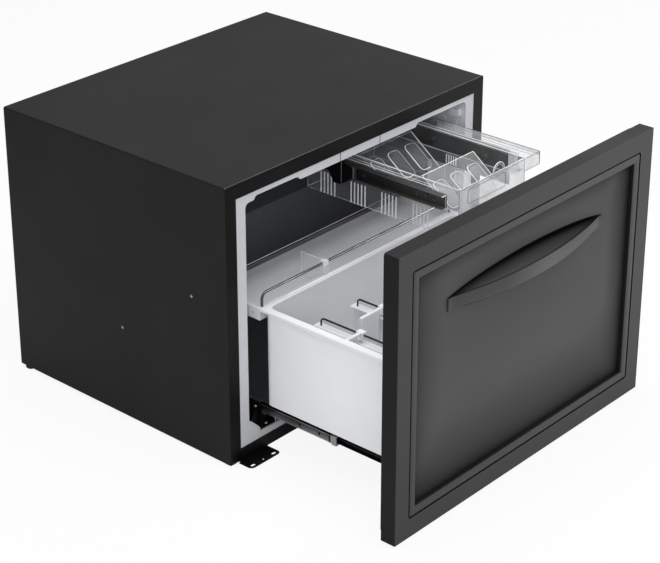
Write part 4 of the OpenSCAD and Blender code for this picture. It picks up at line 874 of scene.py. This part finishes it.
def add_rest(rests, crest, sheet, edge, far_edge):
    """One clear rest, which falls to the front from its crest, with three raised pads."""
    angle = math.radians(37)
    x0, width, length = TRAY_LEFT + 2, PARTITION_X - TRAY_LEFT - 2, 74
    pad_middle, under = -42.5, -0.7

    def on_slope(across, along, lift=0.0):
        """A point of the slope, from its left end and its crest, lifted off it."""
        return (x0 + across, crest + along * math.cos(angle) - lift * math.sin(angle),
                TRAY_TOP + 2 + along * math.sin(angle) + lift * math.cos(angle))

    def on_pad(pad, loop, lift):
        """Points of a loop about a pad's middle."""
        return [on_slope(pad + across, pad_middle + along, lift) for across, along in loop]

    rests.sheet(on_slope(0, 0), on_slope(width, 0), on_slope(width, -length), on_slope(0, -length), sheet)
    rests.bar([on_slope(0, 0, under), on_slope(width, 0, under)], 0.6, edge)
    rests.bar([on_slope(0.5, 0, under), on_slope(0.5, -length, under)], 0.5, edge)
    rests.bar([on_slope(width - 0.5, 0, under), on_slope(width - 0.5, -length, under)], 0.6, CLEAR_EDGE)
    rests.bar([on_slope(0, -length + 0.6, under), on_slope(width, -length + 0.6, under)], 0.6, edge)
    outline, top = rounded_loop(13, 24.5, 7, 4), rounded_loop(10, 21.5, 5, 3)
    quarter = len(outline) // 4
    near = outline[quarter + 1:3 * quarter + 1]
    far = outline[3 * quarter:] + outline[:quarter + 2]
    for pad in (18, 59, 100):
        rests.bar(on_pad(pad, near, 0.1), 0.8, CLEAR_EDGE)
        rests.bar(on_pad(pad, far, 0.1), 0.7, far_edge)
        rests.add(on_pad(pad, top, 0.5), [tuple(range(len(top)))], sheet)


def sloping_rests():
    """The two rests, of which the front one is made of hazier, lighter clear: painted light where it catches
    more light.
    """
    rests = Build(CLEAR_SLOPE, CLEAR_EDGE, CLEAR_WALL, CLEAR_FAINT, PAD_EDGE)
    add_rest(rests, TRAY_FRONT + 72, CLEAR_SLOPE, CLEAR_EDGE, PAD_EDGE)
    add_rest(rests, TRAY_FRONT + 194, CLEAR_WALL, CLEAR_FAINT, CLEAR_FAINT)
    made = rests.piece("sloping_rests", "tray")
    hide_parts("bottle_rests")


def clear_divider():
    """The clear divider: a plate behind the shelf rail, held by its clip."""
    low, high = own_box("shelf_divider")
    x, front, top = (low.x + high.x) / 2, low.y + 5, high.z - 1
    clip_z = high.z - 8
    plate = Build(CLEAR_SLOPE, CLEAR_EDGE)
    plate.sheet_x(x, (front, high.y), (low.z, top))
    outline = [(front, low.z + 0.5), (high.y - 0.5, low.z + 0.5), (high.y - 0.5, top), (front, top)]
    plate.bar([(x, y, z) for y, z in outline], 0.7, CLEAR_EDGE, loop=True)
    plate.box((low.x + 1, low.y + 0.5, clip_z), (high.x - 1, low.y + 9, high.z - 0.6), CLEAR_EDGE)
    plate.sheet_y(low.y + 0.8, (low.x + 0.5, high.x - 0.5), (low.z, clip_z))
    made = plate.piece("clear_divider", "shelf_divider")
    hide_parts("shelf_divider")


clear_tray()
sloping_rests()
clear_divider()


# Small metal details

def plate_screws():
    """Screws seen through the tray on the dark side plate, their heads painted white as a painted highlight,
    each in a grey ring.
    """
    screws = Build(HIGHLIGHT_WHITE, GREY_RING_AND_SHADE)
    for y in (TRAY_FRONT + 80, TRAY_FRONT + 183):
        screws.disc((TRAY_RIGHT + 11.9, y, TRAY_TOP - 23.5), (-1, 0, 0), 3.2, 1.0, GREY_RING_AND_SHADE)
        screws.disc((TRAY_RIGHT + 11.0, y, TRAY_TOP - 22.7), (-1, 0, 0), 2.2, 0.8)
    screws.piece("plate_screws", "tray", smooth=True)


def channel_details():
    """The left channel's screws, slots and groove on its web, with bright zinc lines along its edges and a
    light front end, both painted highlights.
    """
    edge, front, back = channel_low.x, channel_low.y, channel_high.y
    web, z = tray_low.x - 1.2, TRAY_TOP - 24.5
    marks = Build(ZINC, SCREW_STEEL, CLEAR_EDGE)
    for y in (TRAY_FRONT + 181.7, TRAY_FRONT + 77.7):
        marks.disc((web + 0.05, y, z - 3.5), (-1, 0, 0), 2.4, 0.15)
    slots = ((front + 36.7, front + 38.1, -6.9, -0.1), (front + 18.7, front + 24.7, -4.4, -2.6),
             (front + 0.6, back, 1.2, 1.8))
    for near, far, low, high in slots:
        marks.box((web - 0.2, near, z + low), (web + 0.1, far, z + high))
    for height in (z + 9.7, z - 9.7):
        marks.bar([(edge + 0.3, front + 0.6, height), (edge + 0.3, back, height)], 0.35)
    marks.box((web - 0.3, front - 0.4, z - 9.5), (web + 1.1, front + 0.9, z + 9.5), SCREW_STEEL)
    marks.box((edge, front - 0.4, z + 9.2), (web + 1.1, front + 0.9, z + 10.6), CLEAR_EDGE)
    marks.piece("channel_details", "tray")


def hanger_edges():
    """The bright cut edges of the left hanger's plate."""
    low, high = own_box("tray_hanger_left")
    x, plate_rear = high.x - 1.4, 56
    edges = Build(ZINC)
    edges.bar([(x, plate_rear, low.z + 2), (x, plate_rear, low.z + 40)], 0.4)
    edges.bar([(x, low.y + 0.2, low.z + 16), (x, low.y + 0.2, low.z + 36)], 0.4)
    edges.piece("hanger_edges", "cabinet")


def trim_seams():
    """The thin joints at both ends of the snap-in trim."""
    low, high = own_box("trim_clip")
    seams = Build(SHADOW_AND_JOINT_BLACK)
    for x in (low.x - 0.25, high.x + 0.25):
        seams.box((x - 0.6, low.y - 0.15, low.z), (x + 0.6, low.y + 1.5, high.z))
    seams.piece("trim_seams", "cabinet")


def bin_edge_light_and_shade():
    """Painted light and shade at the bin's moulded edges: white bars of painted highlight along the shelf's
    rear rim and the well's rear edge, a black strip of painted shadow on the rim, and a grey strip of painted
    shade on the shelf's rear wall.
    """
    rim = own_box("drawer_bin")[1]
    rail_low, rail_high = own_box("shelf_rail")
    half, well_half = rail_high.x - 4, rail_high.x - 54
    well_y, well_z = rail_low.y - 1, rail_low.z + 0.1
    edges = Build(HIGHLIGHT_WHITE, SHADOW_AND_JOINT_BLACK, GREY_RING_AND_SHADE)
    edges.bar([(-half, rim.y - 0.8, rim.z - 0.3), (half, rim.y - 0.8, rim.z - 0.3)], 0.75)
    edges.box((-half, rim.y - 4.6, rim.z - 0.2), (half, rim.y - 2.0, rim.z + 0.15), SHADOW_AND_JOINT_BLACK)
    edges.box((-half, rim.y - 5.4, rim.z - 6.5), (half, rim.y - 4.9, rim.z - 0.6), GREY_RING_AND_SHADE)
    edges.bar([(-well_half, well_y, well_z), (well_half, well_y, well_z)], 0.6)
    edges.piece("bin_edge_light_and_shade", "drawer", smooth=True)


def guide_holes():
    """The small round holes in the rim guides."""
    low, high = own_box("rim_guides")
    y, z = (low.y + high.y) / 2 + 2, (low.z + high.z) / 2 + 1
    holes = Build(SHADOW_AND_JOINT_BLACK)
    for x, way in ((low.x - 0.05, -1), (high.x + 0.05, 1)):
        holes.disc((x, y, z), (way, 0, 0), 2.1, 0.15)
    holes.piece("guide_holes", "drawer")


def shade_linings():
    """Sheets of the step cover's grey on both side walls, above the cavity's floor, reaching 75 mm before the
    step cover: painted shade over the liner.
    """
    low, high = own_box("step_cover")
    linings = Build(STEP_GREY)
    for x0, x1 in ((low.x + 0.1, low.x + 1.3), (high.x - 1.3, high.x - 0.1)):
        linings.box((x0, low.y - 75, low.z + 26), (x1, low.y - 0.1, high.z))
    linings.piece("shade_linings", "cabinet")


def base_skirt():
    """The thin black skirt under the shell, which deepens towards the front."""
    front, rear, drop = 0.2, 450, 4.5
    skirt = Build(BLACK_SHEET, BLACK_FLANGE)
    skirt.box((-HALF_WIDTH, front, -drop), (HALF_WIDTH, front + 1, 0.1), BLACK_FLANGE)
    outline = [(front, 0.1), (rear, 0.1), (rear, -0.3), (front, -drop)]
    for side in (-1, 1):
        points = [(side * x, y, z) for x in (HALF_WIDTH, HALF_WIDTH - 1) for y, z in outline]
        skirt.add(points, [(0, 1, 2, 3), (7, 6, 5, 4), (3, 2, 6, 7), (0, 3, 7, 4)])
    skirt.piece("base_skirt", "cabinet")


def slide_edges():
    """The bright stop at the front of the left slide bracket, and the middle slides' rolled edges in brighter
    zinc, a painted highlight, each slide with a black box of painted shadow at its front end.
    """
    stop_x, stop_y = -200, -2.8
    stop = Build(SCREW_STEEL)
    stop.bar([(stop_x, stop_y, 30), (stop_x, stop_y, 51)], 0.6)
    stop.piece("slide_stop_edge", "cabinet")
    rolls = Build(SCREW_STEEL, SHADOW_AND_JOINT_BLACK)
    for node, side in (("slide_middle_left", 0), ("slide_middle_right", 1)):
        low, high = own_box(node)
        x = (low.x - 0.1, high.x + 0.1)[side]
        for z in (low.z + 1.2, high.z - 1.2):
            rolls.bar([(x, low.y + 1, z), (x, high.y - 1, z)], 0.45)
        rolls.box((x - 0.3, low.y - 0.4, low.z - 0.1), (x + 0.3, low.y + 3.4, high.z + 0.1), SHADOW_AND_JOINT_BLACK)
    rolls.piece("slide_rolled_edges", "slide_middle")


def fold_highlight_bar():
    """A lighter bar along the rounded fold of the wrapper's upper front edge: a painted highlight."""
    reach, y, z = HALF_WIDTH - 0.5, 0.55, SHELL_TOP - 0.45
    lines = Build(FOLD_HIGHLIGHT)
    lines.bar([(-reach, y, z), (reach, y, z)], 0.55)
    lines.piece("fold_highlight_bar", "cabinet", smooth=True)


plate_screws()
channel_details()
hanger_edges()
bin_edge_light_and_shade()
guide_holes()
trim_seams()
shade_linings()
base_skirt()
slide_edges()
fold_highlight_bar()


# Surroundings

def seen_directly(tree):
    """A value that is 1 for what the camera sees, also through clear pieces, and 0 for other light."""
    path = tree.nodes.new("ShaderNodeLightPath")
    seen = tree.nodes.new("ShaderNodeMath")
    seen.operation = "MAXIMUM"
    tree.links.new(path.outputs["Is Camera Ray"], seen.inputs[0])
    tree.links.new(path.outputs["Is Transmission Ray"], seen.inputs[1])
    return seen.outputs[0]


def floor():
    """A floor that looks all but white to the camera, and keeps a tenth of its soft shadows."""
    size = 6.0
    mesh = bpy.data.meshes.new("floor")
    corners = [(-size, -size, 0), (size, -size, 0), (size, size, 0), (-size, size, 0)]
    mesh.from_pydata(corners, [], [(0, 1, 2, 3)])
    ground = new_object("floor", mesh)
    pale = Shader("pale_floor", 0.9, Base_Color=(0.8, 0.8, 0.8, 1), Specular_IOR_Level=0.0)
    glow = pale.node("ShaderNodeEmission")
    glow.inputs["Color"].default_value = WHITE
    mix = pale.node("ShaderNodeMixShader")
    pale.link(pale.math("MULTIPLY", seen_directly(pale.tree), 0.9), mix.inputs["Fac"])
    pale.link(pale.bsdf.outputs["BSDF"], mix.inputs[1])
    pale.link(glow.outputs["Emission"], mix.inputs[2])
    pale.link(mix.outputs["Shader"], pale.tree.nodes["Material Output"].inputs["Surface"])
    mesh.materials.append(pale.material)


def sky():
    """A surround that looks white to the camera and lights the pieces at less than half of that."""
    world = bpy.data.worlds.new("studio")
    bpy.context.scene.world = world
    world.use_nodes = True
    tree = world.node_tree
    tree.nodes.clear()
    mix = tree.nodes.new("ShaderNodeMixShader")
    tree.links.new(seen_directly(tree), mix.inputs["Fac"])
    for slot, strength in ((1, 0.45), (2, 1.0)):
        glow = tree.nodes.new("ShaderNodeBackground")
        glow.inputs["Color"].default_value = WHITE
        glow.inputs["Strength"].default_value = strength
        tree.links.new(glow.outputs[0], mix.inputs[slot])
    tree.links.new(mix.outputs[0], tree.nodes.new("ShaderNodeOutputWorld").inputs["Surface"])


def area_light(name, place, target_z, side, power):
    """A square light, its side in metres and its power in watts, that looks at a point above the origin."""
    data = bpy.data.lights.new(name, "AREA")
    data.shape = "RECTANGLE"
    data.size = data.size_y = side
    data.energy = power
    lamp = new_object(name, data)
    lamp.location = place
    lamp.rotation_euler = (Vector((0, 0, target_z)) - Vector(place)).to_track_quat("-Z", "Y").to_euler()


def camera():
    """The photograph's view: place, direction, lens and upward shift from a perspective fit."""
    azimuth, elevation = math.radians(48.718), math.radians(24.721)
    focal_px, width_px = 2048.1, 660
    data = bpy.data.cameras.new("camera")
    data.sensor_width = 36
    data.lens = focal_px / width_px * data.sensor_width
    data.shift_y = -0.1
    data.clip_end = 50
    eye = new_object("camera", data)
    eye.location = at(-2149.1, -1822.5, 1598.8)
    forward = Vector((math.sin(azimuth) * math.cos(elevation), math.cos(azimuth) * math.cos(elevation),
                      -math.sin(elevation)))
    eye.rotation_euler = forward.to_track_quat("-Z", "Y").to_euler()
    bpy.context.scene.camera = eye


floor()
sky()
area_light("overhead", (-0.3, -0.4, 2.6), 0.2, 2.4, 55)
area_light("front_left", (-2.4, -2.2, 1.6), 0.2, 1.6, 26)
area_light("right", (2.6, -1.6, 1.5), 0.2, 1.6, 24)
area_light("back_right", (3.4, 1.0, 1.3), 0.3, 1.6, 8)
camera()
bpy.context.scene.view_settings.view_transform = "Standard"
